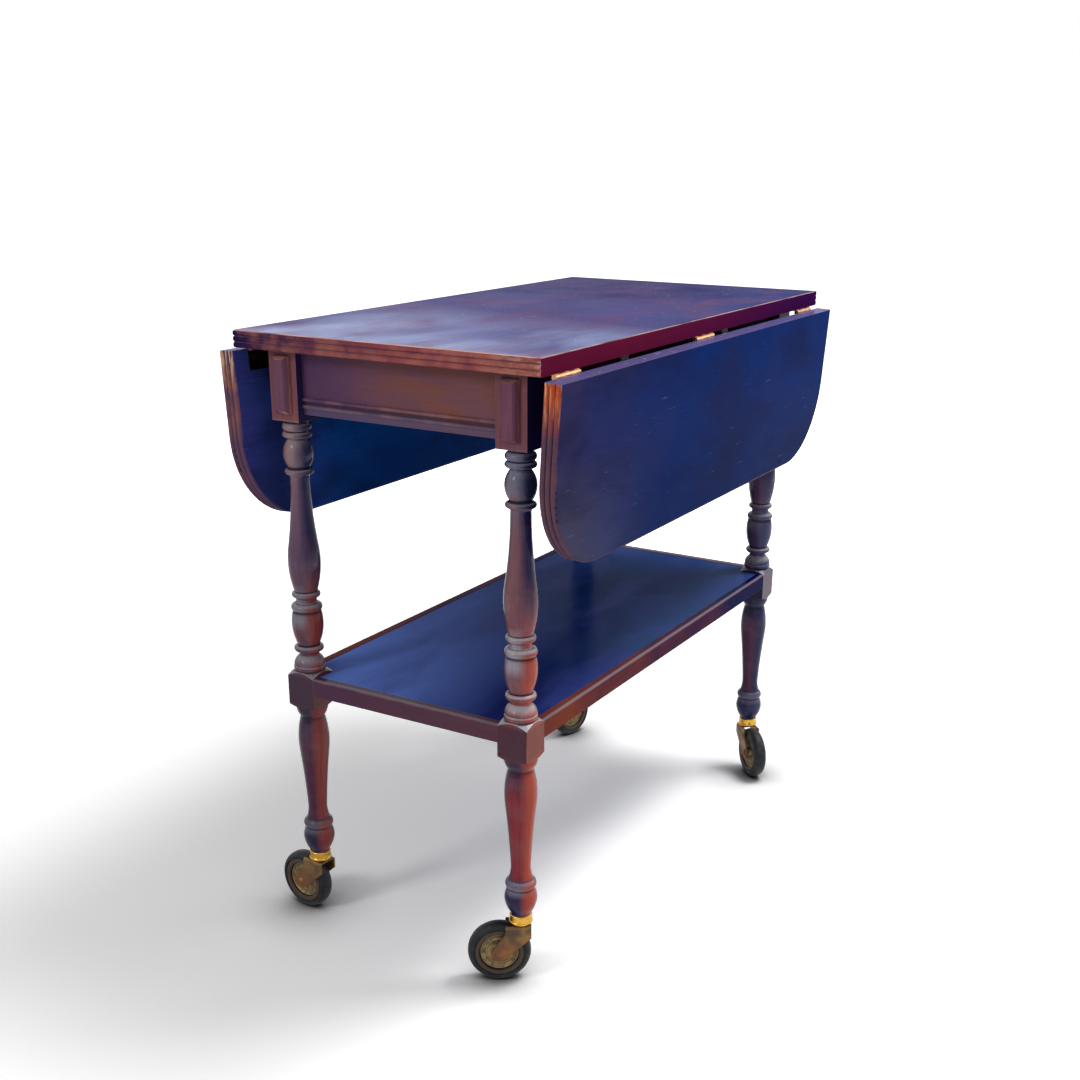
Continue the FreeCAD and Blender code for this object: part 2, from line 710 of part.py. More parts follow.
def corner_block(corner):
    """The block in a corner behind the aprons, with a screw into the leg and one up into the top."""
    sign_x, sign_y, angle = CORNERS[corner]
    behind = "(leg_side - apron_recess - apron_thickness)"
    points = [(f"-{behind}", "0"), ("0", "0"), ("0", f"-{behind}"), ("corner_reach", f"-{behind}"),
              (f"-{behind}", "corner_reach")]
    spot = dict(x=f"{sign_x} * ({LEG_X} - leg_side / 2)", y=f"{sign_y} * ({LEG_Y} - leg_side / 2)",
                z=f"{UNDERSIDE} - corner_height", yaw=angle)
    block = plate(f"{corner}_block", "XY_Plane", points, "corner_height")
    middle = f"((corner_reach - {behind}) / 2)"
    size = ("block_screw_length", "block_screw_radius", "block_screw_head")
    into_leg = screw(f"{corner}_leg_screw", *size, x=middle, y=middle, z="leg_screw_lift", yaw=-135, pitch=90)
    into_top = screw(f"{corner}_top_screw", *size, x="top_screw_inset", y="top_screw_inset")
    screws = group(f"{corner}_block_screws", [into_leg, into_top], **spot)
    drilled = cut(f"{corner}_block_drilled", block, into_leg, into_top)
    return group(f"{corner}_block_placed", [drilled], **spot), screws


# Table top and leaves

def reeds(edge_at, outward, middle, downward):
    """Three reeds down or up a board's edge: points from the first reed's end to the last one's."""
    step = 1 if downward else -1
    first, second, third = (f"({middle} + {step * place} * {REED_PITCH})" for place in (1, 0, -1))
    valley = f"{edge_at} + {outward} * {REED_VALLEY}"
    slant = "sqrt(0.5) * reed_radius"
    slanted = f"{edge_at} + {outward} * {slant}"
    return [
        (valley, f"{first} - {step} * {REED_PITCH} / 2", slanted, f"{first} + {step} * {slant}"),
        (valley, f"{second} - {step} * {REED_PITCH} / 2", f"{edge_at} + {outward} * reed_radius", second),
        (edge_at, f"{third} - {step} * reed_radius", slanted, f"{third} - {step} * {slant}"),
    ]


def table_top(*drillings):
    """The fixed board: reeded ends, plain long edges."""
    end = "(top_length / 2 - reed_radius)"
    middle = "(table_height - board_thickness / 2)"
    *rising, closing = reeds(f"-{end}", -1, middle, False)
    section = [closing, (end, "table_height"), *reeds(end, 1, middle, True), (f"-{end}", UNDERSIDE), *rising]
    body = new_body("top_board")
    pad(body, outline(new_sketch(body, "top_section", "XZ_Plane"), section), "top_width", both_ways=True)
    nodes.append(cut("table_top", body, *drillings))


def leaf_board(side):
    """A leaf laid out level: hinge pin on the X axis, joint edge above it, free edge towards -Y."""
    body = new_body(f"{side}_board")
    middle = f"({PIN_DROP} + board_thickness / 2)"
    reach = "(top_length / 2 - reed_radius)"
    edge_y = "(leaf_width - reed_radius)"
    corner = "(leaf_corner - reed_radius)"
    bend = f"({corner} * sqrt(0.5))"
    run = [(f"-{reach}", "-joint_gap"), (f"-{reach}", f"-({edge_y} - {corner})"),
           (f"-({reach} - {corner})", f"-{edge_y}",
            f"-({reach} - {corner} + {bend})", f"-({edge_y} - {corner} + {bend})"),
           (f"({reach} - {corner})", f"-{edge_y}"),
           (reach, f"-({edge_y} - {corner})",
            f"({reach} - {corner} + {bend})", f"-({edge_y} - {corner} + {bend})"),
           (reach, "-joint_gap")]
    pad(body, outline(new_sketch(body, f"{side}_plan", "XY_Plane", PIN_DROP), run), "board_thickness")
    path = outline(new_sketch(body, f"{side}_path", "XY_Plane", middle), run, closed=False)
    *rising, closing = reeds(f"-{reach}", -1, middle, False)
    profile = new_sketch(body, f"{side}_reeds", "XZ_Plane", "joint_gap")
    outline(profile, [closing, (f"-{reach}", PIN_DROP), *rising])
    pipe = body.newObject("PartDesign::AdditivePipe", f"{side}_reeding")
    pipe.Profile = profile
    pipe.Spine = path
    return body


def hinge_half(name, fingers, sign, screws, pin):
    """Half a hinge: a plate under the boards and its share of the five knuckles. Sign -1 reaches to -Y."""
    pitch = "(hinge_length / 5)"
    clear = "(knuckle_radius + plate_clearance)"
    base = f"{PIN_DROP} - hinge_plate_thickness"
    inner = clear if sign > 0 else "(-hinge_plate_width)"
    pieces = [box(f"{name}_flat", "hinge_length", f"hinge_plate_width - {clear}", "hinge_plate_thickness",
                  "-hinge_length / 2", inner, base)]
    for finger in fingers:
        start = f"({finger} * {pitch} - hinge_length / 2 + knuckle_gap / 2)"
        long = f"{pitch} - knuckle_gap"
        pieces.append(rod(f"{name}_knuckle_{finger}", "knuckle_radius", long, x=start, pitch=90))
        pieces.append(box(f"{name}_finger_{finger}", long, clear, "hinge_plate_thickness",
                          start, "0" if sign > 0 else f"-{clear}", base))
    blank = fuse(f"{name}_blank", pieces)
    return cut(f"{name}_half", blank, pin, *screws)


def plate_screws(name, y, z):
    """Three screws in a row through a plate, pointing up."""
    return [screw(f"{name}_screw_{number}", "screw_length", "screw_radius", "screw_head",
                  x=f"{number} * screw_spacing", y=y, z=z) for number in (-1, 0, 1)]


# Folding stays. The arms of a stay lie side by side in X, between the ears of its bracket and its lug.

LAYER = "(arm_thickness + arm_gap)"
# the arms lie in one line from bracket to lug when the leaf is level
REACH_OUT = "sqrt(pow(stay_pivot_in + stay_lug_out; 2) + pow(stay_pivot_drop - stay_lug_drop; 2))"
SHORT_ARM = f"({REACH_OUT} - long_arm)"
# the lug's pivot, seen from the hinge pin, with the leaf hanging
LUG_Y = "(-stay_lug_out * cos(hang_angle) + stay_lug_drop * sin(hang_angle))"
LUG_Z = "(-stay_lug_out * sin(hang_angle) - stay_lug_drop * cos(hang_angle))"
SPAN = f"sqrt(pow(stay_pivot_in - {LUG_Y}; 2) + pow(stay_pivot_drop + {LUG_Z}; 2))"
SPAN_ANGLE = f"atan((stay_pivot_drop + {LUG_Z}) / ({LUG_Y} - stay_pivot_in))"


def corner_angle(beside, other, opposite):
    """The angle between two sides of a triangle, from the lengths of all three."""
    return f"acos((pow({beside}; 2) + pow({other}; 2) - pow({opposite}; 2)) / (2 * {beside} * {other}))"


ANGLE_AT_BRACKET = corner_angle("long_arm", SPAN, SHORT_ARM)
ANGLE_AT_LUG = corner_angle(SHORT_ARM, SPAN, "long_arm")
# directions of the arms from their own pivots, measured from +Y towards +Z
LONG_ARM_ANGLE = f"({SPAN_ANGLE} - 180 deg + {ANGLE_AT_BRACKET})"
SHORT_ARM_ANGLE = f"({SPAN_ANGLE} - {ANGLE_AT_LUG})"


def arm(name, length, far_hole):
    """A flat arm with rounded ends, from a pivot at the origin along +Y, with a rivet hole at the pivot."""
    half = "arm_half_width"
    body = new_body(name)
    sketch = outline(new_sketch(body, f"{name}_outline", "YZ_Plane"), [
        ("0", f"-{half}", f"-{half}", "0"),
        (length, f"-{half}"),
        (length, half, f"{length} + {half}", "0"),
        ("0", half),
    ])
    circle(sketch, "rivet_radius + pin_clearance", "0")
    if far_hole:
        circle(sketch, "rivet_radius", length)
    pad(body, sketch, "arm_thickness")
    return body


def rivet(name, layers, one_head=False, **place):
    """A rivet along +X from its first head's face, through a number of layers."""
    grip = f"({layers} * arm_thickness + ({layers} - 1) * arm_gap)"
    points = [(0, "-rivet_head_height"), ("rivet_head", "-rivet_head_height / 2"), ("rivet_head", 0),
              ("rivet_radius", 0), ("rivet_radius", grip)]
    if one_head:
        points.append((0, grip))
    else:
        points += [("rivet_head", grip), ("rivet_head", f"{grip} + rivet_head_height / 2"),
                   (0, f"{grip} + rivet_head_height")]
    return turned(name, points, pitch=90, **place)


nodes = []

# screws, dowels and sockets come first, because the wood is drilled for them
seats = {corner: castor_seat(corner) for corner in CORNERS}
nodes.append(group("castor_ferrules", [ferrule for ferrule, _, _ in seats.values()]))
nodes.append(group("castor_sockets", [socket for _, socket, _ in seats.values()]))

end_reach = f"({LEG_X} + leg_side / 2 - apron_recess)"
side_reach = f"({LEG_Y} + leg_side / 2 - apron_recess)"
rail_end_reach = f"({LEG_X} + leg_side / 2)"
rail_side_reach = f"({LEG_Y} + leg_side / 2)"
inner_x = f"({LEG_X} - leg_side / 2)"
inner_y = f"({LEG_Y} - leg_side / 2)"
boards = {
    "front": (0, end_reach, rail_end_reach, inner_y, "end_dowel_lift"),
    "rear": (180, end_reach, rail_end_reach, inner_y, "end_dowel_lift"),
    "right": (90, side_reach, rail_side_reach, inner_x, "side_dowel_lift"),
    "left": (270, side_reach, rail_side_reach, inner_x, "side_dowel_lift"),
}
apron_dowels = []
rail_dowels = []
for name, (turning, reach, rail_reach, across, lift) in boards.items():
    heights = [f"{APRON_BASE} + {lift}", f"{APRON_BASE} + {lift} + dowel_spacing"]
    apron_dowels += joint_dowels(f"{name}_apron", f"({reach} - apron_thickness / 2)", across, heights,
                                 "dowel_length", turning)
    rail_dowels += joint_dowels(f"{name}_rail", f"({rail_reach} - (rail_thickness - panel_lap) / 2)", across,
                                [f"{RAIL_BASE} + {REBATE_FLOOR} / 2"], "rail_dowel_length", turning)
nodes.append(group("apron_dowels", apron_dowels))
nodes.append(group("rail_dowels", rail_dowels))

blocks = {corner: corner_block(corner) for corner in CORNERS}
nodes.append(group("corner_blocks", [block for block, _ in blocks.values()]))
nodes.append(group("corner_block_screws", [screws for _, screws in blocks.values()]))
nodes.append(group("corner_pads", [corner_pad(corner) for corner in CORNERS]))

for corner in CORNERS:
    leg(corner, [*apron_dowels, *rail_dowels, seats[corner][2], blocks[corner][1]])

# hinges: every piece is laid out with the pin on the X axis
plate_line = "((hinge_plate_width + knuckle_radius) / 2)"
plate_face = f"({PIN_DROP} - hinge_plate_thickness)"
along_pin = dict(x="-hinge_length / 2", pitch=90)
hinge_pin = rod("hinge_pin_wire", "pin_radius", "hinge_length", **along_pin)
loose_pin = rod("hinge_pin_room", "pin_radius + pin_clearance", "hinge_length", **along_pin)
top_screws = plate_screws("top_plate", plate_line, plate_face)
leaf_screws = plate_screws("leaf_plate", f"-{plate_line}", plate_face)
top_half = hinge_half("top_plate", (0, 2, 4), 1, top_screws, hinge_pin)
leaf_half = hinge_half("leaf_plate", (1, 3), -1, leaf_screws, loose_pin)


def three(label, links, side=None):
    """Pieces of one hinge repeated at the three hinges of a leaf, on the pin's line if a side is named."""
    copies = [group(f"{label}_{number}", links, x=f"{number - 2} * hinge_spread") for number in (1, 2, 3)]
    if side is None:
        return group(f"{label}_set", copies)
    return group(label, copies, **on_side(side, "0", "-top_width / 2", PIN_HEIGHT))


# stays: brackets on the side aprons, lugs under the leaves
apron_face = f"(top_width / 2 - {side_reach})"
bracket_ear = plate("bracket_ear", "YZ_Plane", [
    (f"{apron_face} - arm_thickness", "-stay_pivot_drop - arm_half_width"),
    (f"{apron_face} - arm_thickness", "-stay_pivot_drop + arm_half_width"),
    ("stay_pivot_in", "-stay_pivot_drop + arm_half_width"),
    ("stay_pivot_in", "-stay_pivot_drop - arm_half_width",
     "stay_pivot_in - arm_half_width", "-stay_pivot_drop"),
], "arm_thickness")
bracket_flange = box("bracket_flange", "bracket_width", "arm_thickness", "bracket_height",
                     "0", f"{apron_face} - arm_thickness", "-stay_pivot_drop - arm_half_width")
bracket_rivet = rivet("bracket_rivet", 2, y="stay_pivot_in", z="-stay_pivot_drop")
bracket_screws = [screw(f"bracket_screw_{number}", "screw_length", "screw_radius", "screw_head",
                        x="bracket_screw_out", y=f"{apron_face} - arm_thickness",
                        z=f"-stay_pivot_drop + arm_half_width + {number} * bracket_screw_spacing",
                        roll=-90) for number in (1, 2)]
bracket_blank = fuse("bracket_blank", [bracket_ear, bracket_flange])
bracket = cut("bracket_bored", bracket_blank, bracket_rivet, *bracket_screws)

lug_ear = plate("lug_ear", "YZ_Plane", [
    ("-stay_lug_out - arm_half_width", f"{plate_face}"),
    ("-stay_lug_out - arm_half_width", "-stay_lug_drop"),
    ("-stay_lug_out + arm_half_width", "-stay_lug_drop", "-stay_lug_out", "-stay_lug_drop - arm_half_width"),
    ("-stay_lug_out + arm_half_width", f"{plate_face}"),
], "arm_thickness", lift=f"3 * {LAYER}")
lug_flange = box("lug_flange", "bracket_width", "lug_length", "hinge_plate_thickness",
                 f"3 * {LAYER}", "-stay_lug_out - lug_length / 2", plate_face)
lug_rivet = rivet("lug_rivet", 2, x=f"2 * {LAYER}", y="-stay_lug_out", z="-stay_lug_drop")
lug_screws = [screw(f"lug_screw_{number}", "screw_length", "screw_radius", "screw_head",
                    x=f"3 * {LAYER} + bracket_screw_out", y=f"-stay_lug_out + {number} * lug_screw_spread",
                    z=plate_face) for number in (-1, 1)]
lug = cut("lug_bored", fuse("lug_blank", [lug_ear, lug_flange]), lug_rivet, *lug_screws)

long_arm = arm("long_arm_bar", "long_arm", True)
knee_rivet = rivet("knee_rivet", 1, one_head=True, y="long_arm")
short_arm = arm("short_arm_bar", SHORT_ARM, False)


def pair(label, links, side, y, z, **turning):
    """Pieces of one stay repeated at the two stays of a leaf."""
    copies = [group(f"{label}_{number}", links, x=f"{sign} * stay_spread")
              for number, sign in ((1, -1), (2, 1))]
    place = on_side(side, "0", f"-top_width / 2 + {y}", f"{PIN_HEIGHT} + {z}", **turning)
    return group(label, copies, **place)


frame_screws = []
for side in SIDES:
    hang = on_side(side, "0", "-top_width / 2", PIN_HEIGHT, roll="hang_angle")
    nodes.append(three(f"{side}_hinge_top_plates", [top_half], side))
    frame_screws.append(three(f"{side}_hinge_top_screws", top_screws, side))
    frame_screws.append(pair(f"{side}_bracket_screws", bracket_screws, side, "0", "0"))
    nodes.append(pair(f"{side}_stay_brackets", [bracket, bracket_rivet], side, "0", "0"))

    wood_screws = [three(f"{side}_leaf_plate", leaf_screws),
                   *[group(f"{side}_lug_screws_{number}", lug_screws, x=f"{sign} * stay_spread")
                     for number, sign in ((1, -1), (2, 1))]]
    nodes.append(cut(f"{side}_leaf", leaf_board(side), *wood_screws, **hang))
    nodes.append(group(f"{side}_leaf_screws", wood_screws, **hang))
    nodes.append(group(f"{side}_hinge_leaf_plates", [three(f"{side}_leaf_half", [leaf_half])], **hang))
    nodes.append(group(f"{side}_stay_lugs", [
        group(f"{side}_lug_{number}", [lug, lug_rivet], x=f"{sign} * stay_spread")
        for number, sign in ((1, -1), (2, 1))], **hang))
    nodes.append(pair(f"{side}_stay_long_arms", [
        group(f"{side}_long_arm_placed", [long_arm, knee_rivet], x=LAYER)], side,
        "stay_pivot_in", "-stay_pivot_drop", roll=LONG_ARM_ANGLE))
    nodes.append(pair(f"{side}_stay_short_arms", [
        group(f"{side}_short_arm_placed", [short_arm], x=f"2 * {LAYER}")], side,
        LUG_Y, LUG_Z, roll=SHORT_ARM_ANGLE))
nodes.append(group("hinge_pins", [three(f"{side}_pin", [hinge_pin], side) for side in SIDES]))
nodes.append(group("frame_screws", frame_screws))

block_screws = [screws for _, screws in blocks.values()]
table_top(*frame_screws, *block_screws)
for name, (turning, reach, rail_reach, across, _) in boards.items():
    section = beaded_section() if name in ("front", "rear") else PLAIN_SECTION
    apron = board(f"{name}_apron_board", section, f"2 * {across}", reach, APRON_BASE, turning)
    nodes.append(cut(f"{name}_apron", apron, *apron_dowels, *frame_screws))
    rail = board(f"{name}_rail_board", RAIL_SECTION, f"2 * {across}", rail_reach, RAIL_BASE, turning)
    nodes.append(cut(f"{name}_shelf_rail", rail, *rail_dowels))

panel_x = "(" + rail_end_reach + " - rail_thickness + panel_lap - panel_gap)"
panel_y = "(" + rail_side_reach + " - rail_thickness + panel_lap - panel_gap)"
notch_x = f"({inner_x} - panel_gap)"
notch_y = f"({inner_y} - panel_gap)"
nodes.append(plate("shelf_panel", "XY_Plane", [
    (f"-{panel_x}", f"-{notch_y}"), (f"-{notch_x}", f"-{notch_y}"), (f"-{notch_x}", f"-{panel_y}"),
    (notch_x, f"-{panel_y}"), (notch_x, f"-{notch_y}"), (panel_x, f"-{notch_y}"),
    (panel_x, notch_y), (notch_x, notch_y), (notch_x, panel_y),
    (f"-{notch_x}", panel_y), (f"-{notch_x}", notch_y), (f"-{panel_x}", notch_y),
], "panel_thickness", lift="shelf_height - panel_drop - panel_thickness"))

for corner in CORNERS:
    castor(corner)

doc.recompute()

faults = [item.Label for item in doc.Objects if "Invalid" in item.State or "Error" in item.State]
for node in nodes:
    if node.Shape.isNull() or not node.Shape.isValid() or not node.Shape.Solids:
        faults.append(node.Label)
if faults:
    raise RuntimeError(f"these did not build: {faults}")

os.makedirs("parts", exist_ok=True)
for node in nodes:
    node.Shape.exportStep(f"parts/{node.Label}.step")
print(len(nodes), "nodes,", sum(len(node.Shape.Solids) for node in nodes), "solids")
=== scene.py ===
import json
import logging
import math
from dataclasses import dataclass, field
from enum import Enum

import bmesh
import bpy
from mathutils import Matrix, Vector

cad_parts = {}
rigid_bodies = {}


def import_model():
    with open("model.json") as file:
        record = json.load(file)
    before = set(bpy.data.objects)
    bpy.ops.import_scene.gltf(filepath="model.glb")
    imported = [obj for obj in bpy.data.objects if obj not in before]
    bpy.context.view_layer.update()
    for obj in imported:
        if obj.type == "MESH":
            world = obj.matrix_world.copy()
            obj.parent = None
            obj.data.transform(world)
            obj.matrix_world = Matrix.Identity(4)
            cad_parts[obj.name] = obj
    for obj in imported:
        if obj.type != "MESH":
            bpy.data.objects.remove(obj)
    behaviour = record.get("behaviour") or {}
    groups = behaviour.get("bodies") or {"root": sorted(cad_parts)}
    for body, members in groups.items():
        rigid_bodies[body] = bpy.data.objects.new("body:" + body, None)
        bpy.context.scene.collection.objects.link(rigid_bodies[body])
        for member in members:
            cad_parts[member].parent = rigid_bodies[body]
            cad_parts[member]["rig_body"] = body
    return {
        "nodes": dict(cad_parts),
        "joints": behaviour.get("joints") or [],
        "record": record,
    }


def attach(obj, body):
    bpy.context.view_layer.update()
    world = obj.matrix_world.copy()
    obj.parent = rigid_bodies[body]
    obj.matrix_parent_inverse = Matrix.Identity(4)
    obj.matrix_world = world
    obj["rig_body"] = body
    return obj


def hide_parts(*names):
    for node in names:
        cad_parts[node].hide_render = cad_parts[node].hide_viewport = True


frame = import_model()

# Drop leaf tea trolley. X runs along the table from its front end, Y across it towards the left leaf, Z up.
# Sizes of the trolley's pieces and finishes are millimetres, as a maker would give them. Meshes are metres,
# and so is the studio, whose angles are degrees.

log = logging.getLogger("tea_trolley")
MM = 0.001
CORNERS = ("front_right", "front_left", "rear_right", "rear_left")
SIDES = ("right", "left")
ENDS = ("front", "rear")
Point = tuple[float, float, float]
Run = tuple[Point, Point]
Range = tuple[float, float]
Value = float | int | str | tuple | bpy.types.NodeSocket | None


class Grain(Enum):
    """The way a piece's grain runs, with how long its figure is drawn out along X, Y and Z."""

    LENGTHWISE = (16.0, 1.0, 1.0)
    CROSSWISE = (1.0, 16.0, 1.0)
    UPRIGHT = (1.0, 1.0, 16.0)


class Lie(Enum):
    """The way a face looks: the part of its normal that tells, and its sign."""

    UP = ("Z", 1)
    FRONT = ("X", -1)
    RIGHT = ("Y", -1)
    LEFT = ("Y", 1)


def lengthwise(start: float, end: float) -> Run:
    """A run from one place to another along X."""
    return (start, 0.0, 0.0), (end, 0.0, 0.0)


def crosswise(start: float, end: float) -> Run:
    """A run from one place to another along Y."""
    return (0.0, start, 0.0), (0.0, end, 0.0)


def upright(start: float, end: float) -> Run:
    """A run from one height to another."""
    return (0.0, 0.0, start), (0.0, 0.0, end)


def axle_of(name: str) -> tuple[Vector, Vector]:
    """Looks up the line that a joint turns on.

    Args:
        name: the joint's name.

    Returns:
        A point on the line, in metres, and the line's direction.
    """
    joint = next(joint for joint in frame["joints"] if joint["name"] == name)
    return Vector(joint["pos_m"]), Vector(joint["axis"]).normalized()


def linear(colour: str) -> tuple[float, float, float, float]:
    """Turns an sRGB hex colour into the linear colour that a shader takes.

    Args:
        colour: six hex digits after a hash.

    Returns:
        Red, green, blue and an alpha of 1.
    """
    channels = [int(colour[start:start + 2], 16) / 255 for start in (1, 3, 5)]
    red, green, blue = [c / 12.92 if c <= 0.04045 else ((c + 0.055) / 1.055) ** 2.4 for c in channels]
    return red, green, blue, 1.0


# Finishes


class Recipe:
    """The node tree of one finish, or of the studio's surroundings."""

    def __init__(self, owner: bpy.types.Material | bpy.types.World) -> None:
        """Starts an empty tree.

        Args:
            owner: the material or world that the tree belongs to.
        """
        owner.use_nodes = True
        self.owner = owner
        self.tree = owner.node_tree
        self.tree.nodes.clear()

    def add(self, kind: str, *values: Value, output: str = "",
            **named: Value) -> bpy.types.NodeSocket | None:
        """Adds a node with its settings and links.

        Args:
            kind: the node's type without its ShaderNode prefix.
            values: what goes into its inputs in order; None leaves one as it is.
            output: the name of the output to give back, or nothing for the first.
            named: settings in small letters; inputs with a capital, with _ for a space.

        Returns:
            One output of the node, or nothing where it has none.
        """
        node = self.tree.nodes.new(f"ShaderNode{kind}")
        for name, value in named.items():
            if name[0].islower():
                setattr(node, name, value)
        sockets = [socket for socket in node.inputs if socket.enabled]
        by_name = {socket.name: socket for socket in sockets}
        wanted = list(zip(sockets, values))
        wanted += [(by_name[name.replace("_", " ")], value)
                   for name, value in named.items() if name[0].isupper()]
        for socket, value in wanted:
            if isinstance(value, bpy.types.NodeSocket):
                self.tree.links.new(value, socket)
            elif value is not None:
                socket.default_value = value
        if not node.outputs:
            return None
        return next(socket for socket in node.outputs if socket.enabled and output in ("", socket.name))

    def figure(self, size: Point, detail: float = 2.0, seed: float = 0.0,
               distortion: float = 0.0) -> bpy.types.NodeSocket:
        """Draws an uneven figure of soft patches.

        Args:
            size: the patches' usual size along X, Y and Z, in millimetres.
            detail: how much finer figure the patches carry.
            seed: moves the figure, so that two of one size differ.
            distortion: how far the patches are dragged about.

        Returns:
            A value round 0.5.
        """
        place = self.add("TexCoord", output="Object")
        scale = tuple(1 / (length * MM) for length in size)
        spot = self.add("Mapping", place, (seed, seed * 0.7, seed * 1.3), Scale=scale)
        return self.add("TexNoise", spot, Scale=1.0, Detail=detail, Distortion=distortion, output="Fac")

    def run(self, start: Point, end: Point) -> bpy.types.NodeSocket:
        """Draws a steady change from one place to another.

        Args:
            start: where it is 0, in millimetres.
            end: where it is 1, in millimetres.

        Returns:
            A value from 0 to 1.
        """
        first = Vector(start) * MM
        step = Vector(end) * MM - first
        place = self.add("TexCoord", output="Object")
        place = self.add("VectorMath", place, tuple(first), operation="SUBTRACT")
        share = tuple(step / step.length_squared)
        along = self.add("VectorMath", place, share, operation="DOT_PRODUCT", output="Value")
        return self.add("Clamp", along)

    def faces(self, lie: Lie, low: float, high: float) -> bpy.types.NodeSocket:
        """Picks out the faces that look one way.

        Args:
            lie: the way that they look.
            low: how squarely a face looks that way where the value leaves 0.
            high: how squarely it does where the value reaches 1.

        Returns:
            A value from 0 to 1.
        """
        axis, sign = lie.value
        normal = self.add("SeparateXYZ", self.add("TexCoord", output="Normal"), output=axis)
        return self.add("MapRange", normal, sign * low, sign * high)

    def finish(self, **surface: Value) -> bpy.types.Material:
        """Ends the tree with one surface shader.

        Args:
            surface: the shader's inputs by name, with _ for a space.

        Returns:
            The finished material.
        """
        self.add("OutputMaterial", self.add("BsdfPrincipled", **surface))
        return self.owner


@dataclass(frozen=True)
class Wash:
    """A thin coat of another colour over part of a piece: stain that took darker and lacquer that light has
    aged, and also painted light, shade, highlights and reflections. Each of its runs, the faces that it lies on
    and its patches thin it further."""

    colour: str
    strength: float = 1.0
    runs: tuple[Run, ...] = ()
    lie: Lie | None = None
    square: Range = (0.55, 0.85)
    patch: Point | None = None
    patch_range: Range = (0.42, 0.64)
    patch_detail: float = 3.0
    patch_distortion: float = 0.4

    def over(self, recipe: Recipe, colour: bpy.types.NodeSocket) -> bpy.types.NodeSocket:
        """Lays the wash over a colour.

        Args:
            recipe: the finish's tree.
            colour: the colour under the wash.

        Returns:
            The colour with the wash on it.
        """
        parts = [recipe.run(start, end) for start, end in self.runs]
        if self.lie:
            parts.append(recipe.faces(self.lie, *self.square))
        if self.patch:
            patches = recipe.figure(self.patch, self.patch_detail, self.patch[0], self.patch_distortion)
            parts.append(recipe.add("MapRange", patches, *self.patch_range))
        amount = self.strength
        for part in parts:
            amount = recipe.add("Math", part, amount, operation="MULTIPLY")
        return recipe.add("Mix", amount, colour, linear(self.colour), data_type="RGBA")


@dataclass(frozen=True)
class Lacquer:
    """Cellulose lacquer sprayed over stained mahogany: a hard, thin gloss over a dark, fine grain. Where it
    lies hollow it is painted darker, as shade with old dirt, and it rubs through to orange-brown wood on
    arrises and reeds. Its colour goes from near at the start to far at the end, a painted change of light
    across the trolley, and the clouds move that change about."""

    name: str
    near: str
    far: str
    grain: Grain
    washes: tuple[Wash, ...] = ()
    start: Point = (-380.0, -190.0, 0.0)
    end: Point = (250.0, 150.0, 0.0)
    dark: str = "#150c1c"
    rubbed: str = "#a8654a"
    rubbing: float = 0.35
    cloud: float = 0.22
    cloud_size: float = 110.0
    cloud_seed: float = 3.0
    even: Range = (0.3, 0.7)
    streaks: float = 0.28
    streak_range: Range = (0.45, 0.75)
    grain_width: float = 3.0
    grain_seed: float = 7.0
    grain_bump: float = 0.05
    grain_depth: float = 0.1
    hollow_shade: float = 0.85
    hollow_shade_range: Range = (-0.1, -0.7)
    arris_range: Range = (0.12, 0.6)
    wear_size: float = 28.0
    wear_seed: float = 11.0
    wear_range: Range = (0.42, 0.62)
    roughness: float = 0.27
    haze: Range = (-0.06, 0.08)
    haze_size: float = 60.0
    haze_seed: float = 5.0
    gloss: float = 0.1
    index: float = 1.5

    def material(self) -> bpy.types.Material:
        """Builds the material.

        Returns:
            The lacquer as a material.
        """
        recipe = Recipe(bpy.data.materials.new(self.name))
        clouds = recipe.figure((self.cloud_size,) * 3, seed=self.cloud_seed)
        clouds = recipe.add("MapRange", clouds, *self.even, -self.cloud, self.cloud)
        # a painted change of light across the trolley, from the start to the end
        reach = recipe.run(self.start, self.end)
        reach = recipe.add("Math", reach, clouds, operation="ADD", use_clamp=True)
        colour = recipe.add("Mix", reach, linear(self.near), linear(self.far), data_type="RGBA")
        for wash in self.washes:
            colour = wash.over(recipe, colour)

        # mahogany's grain is about 1 mm wide, and is drawn three times as wide so that it shows
        size = tuple(self.grain_width * stretch for stretch in self.grain.value)
        grain = recipe.figure(size, detail=3.0, seed=self.grain_seed)
        streak = recipe.add("MapRange", grain, *self.streak_range, 0.0, self.streaks)
        colour = recipe.add("Mix", streak, colour, linear(self.dark), data_type="RGBA")

        # what lies hollow is painted darker, as shade with old wax and dirt; what stands out is rubbed through
        # in patches, painted as a highlight on the turnings
        raised = recipe.add("Attribute", attribute_name="raised", output="Fac")
        hollow = recipe.add("MapRange", raised, *self.hollow_shade_range, 0.0, self.hollow_shade)
        colour = recipe.add("Mix", hollow, colour, linear(self.dark), data_type="RGBA")
        patchy = recipe.figure((self.wear_size,) * 3, detail=4.0, seed=self.wear_seed)
        patchy = recipe.add("MapRange", patchy, *self.wear_range)
        stands = recipe.add("MapRange", raised, *self.arris_range, 0.0, self.rubbing)
        worn = recipe.add("Math", stands, patchy, operation="MULTIPLY")
        colour = recipe.add("Mix", worn, colour, linear(self.rubbed), data_type="RGBA")

        haze = recipe.figure((self.haze_size,) * 3, detail=3.0, seed=self.haze_seed)
        clear, dull = (self.roughness + change for change in self.haze)
        rough = recipe.add("MapRange", haze, *self.even, clear, dull)
        bump = recipe.add("Bump", self.grain_bump, self.grain_depth * MM, Height=grain)
        return recipe.finish(Base_Color=colour, Roughness=rough, IOR=self.index,
                             Specular_IOR_Level=self.gloss, Normal=bump)


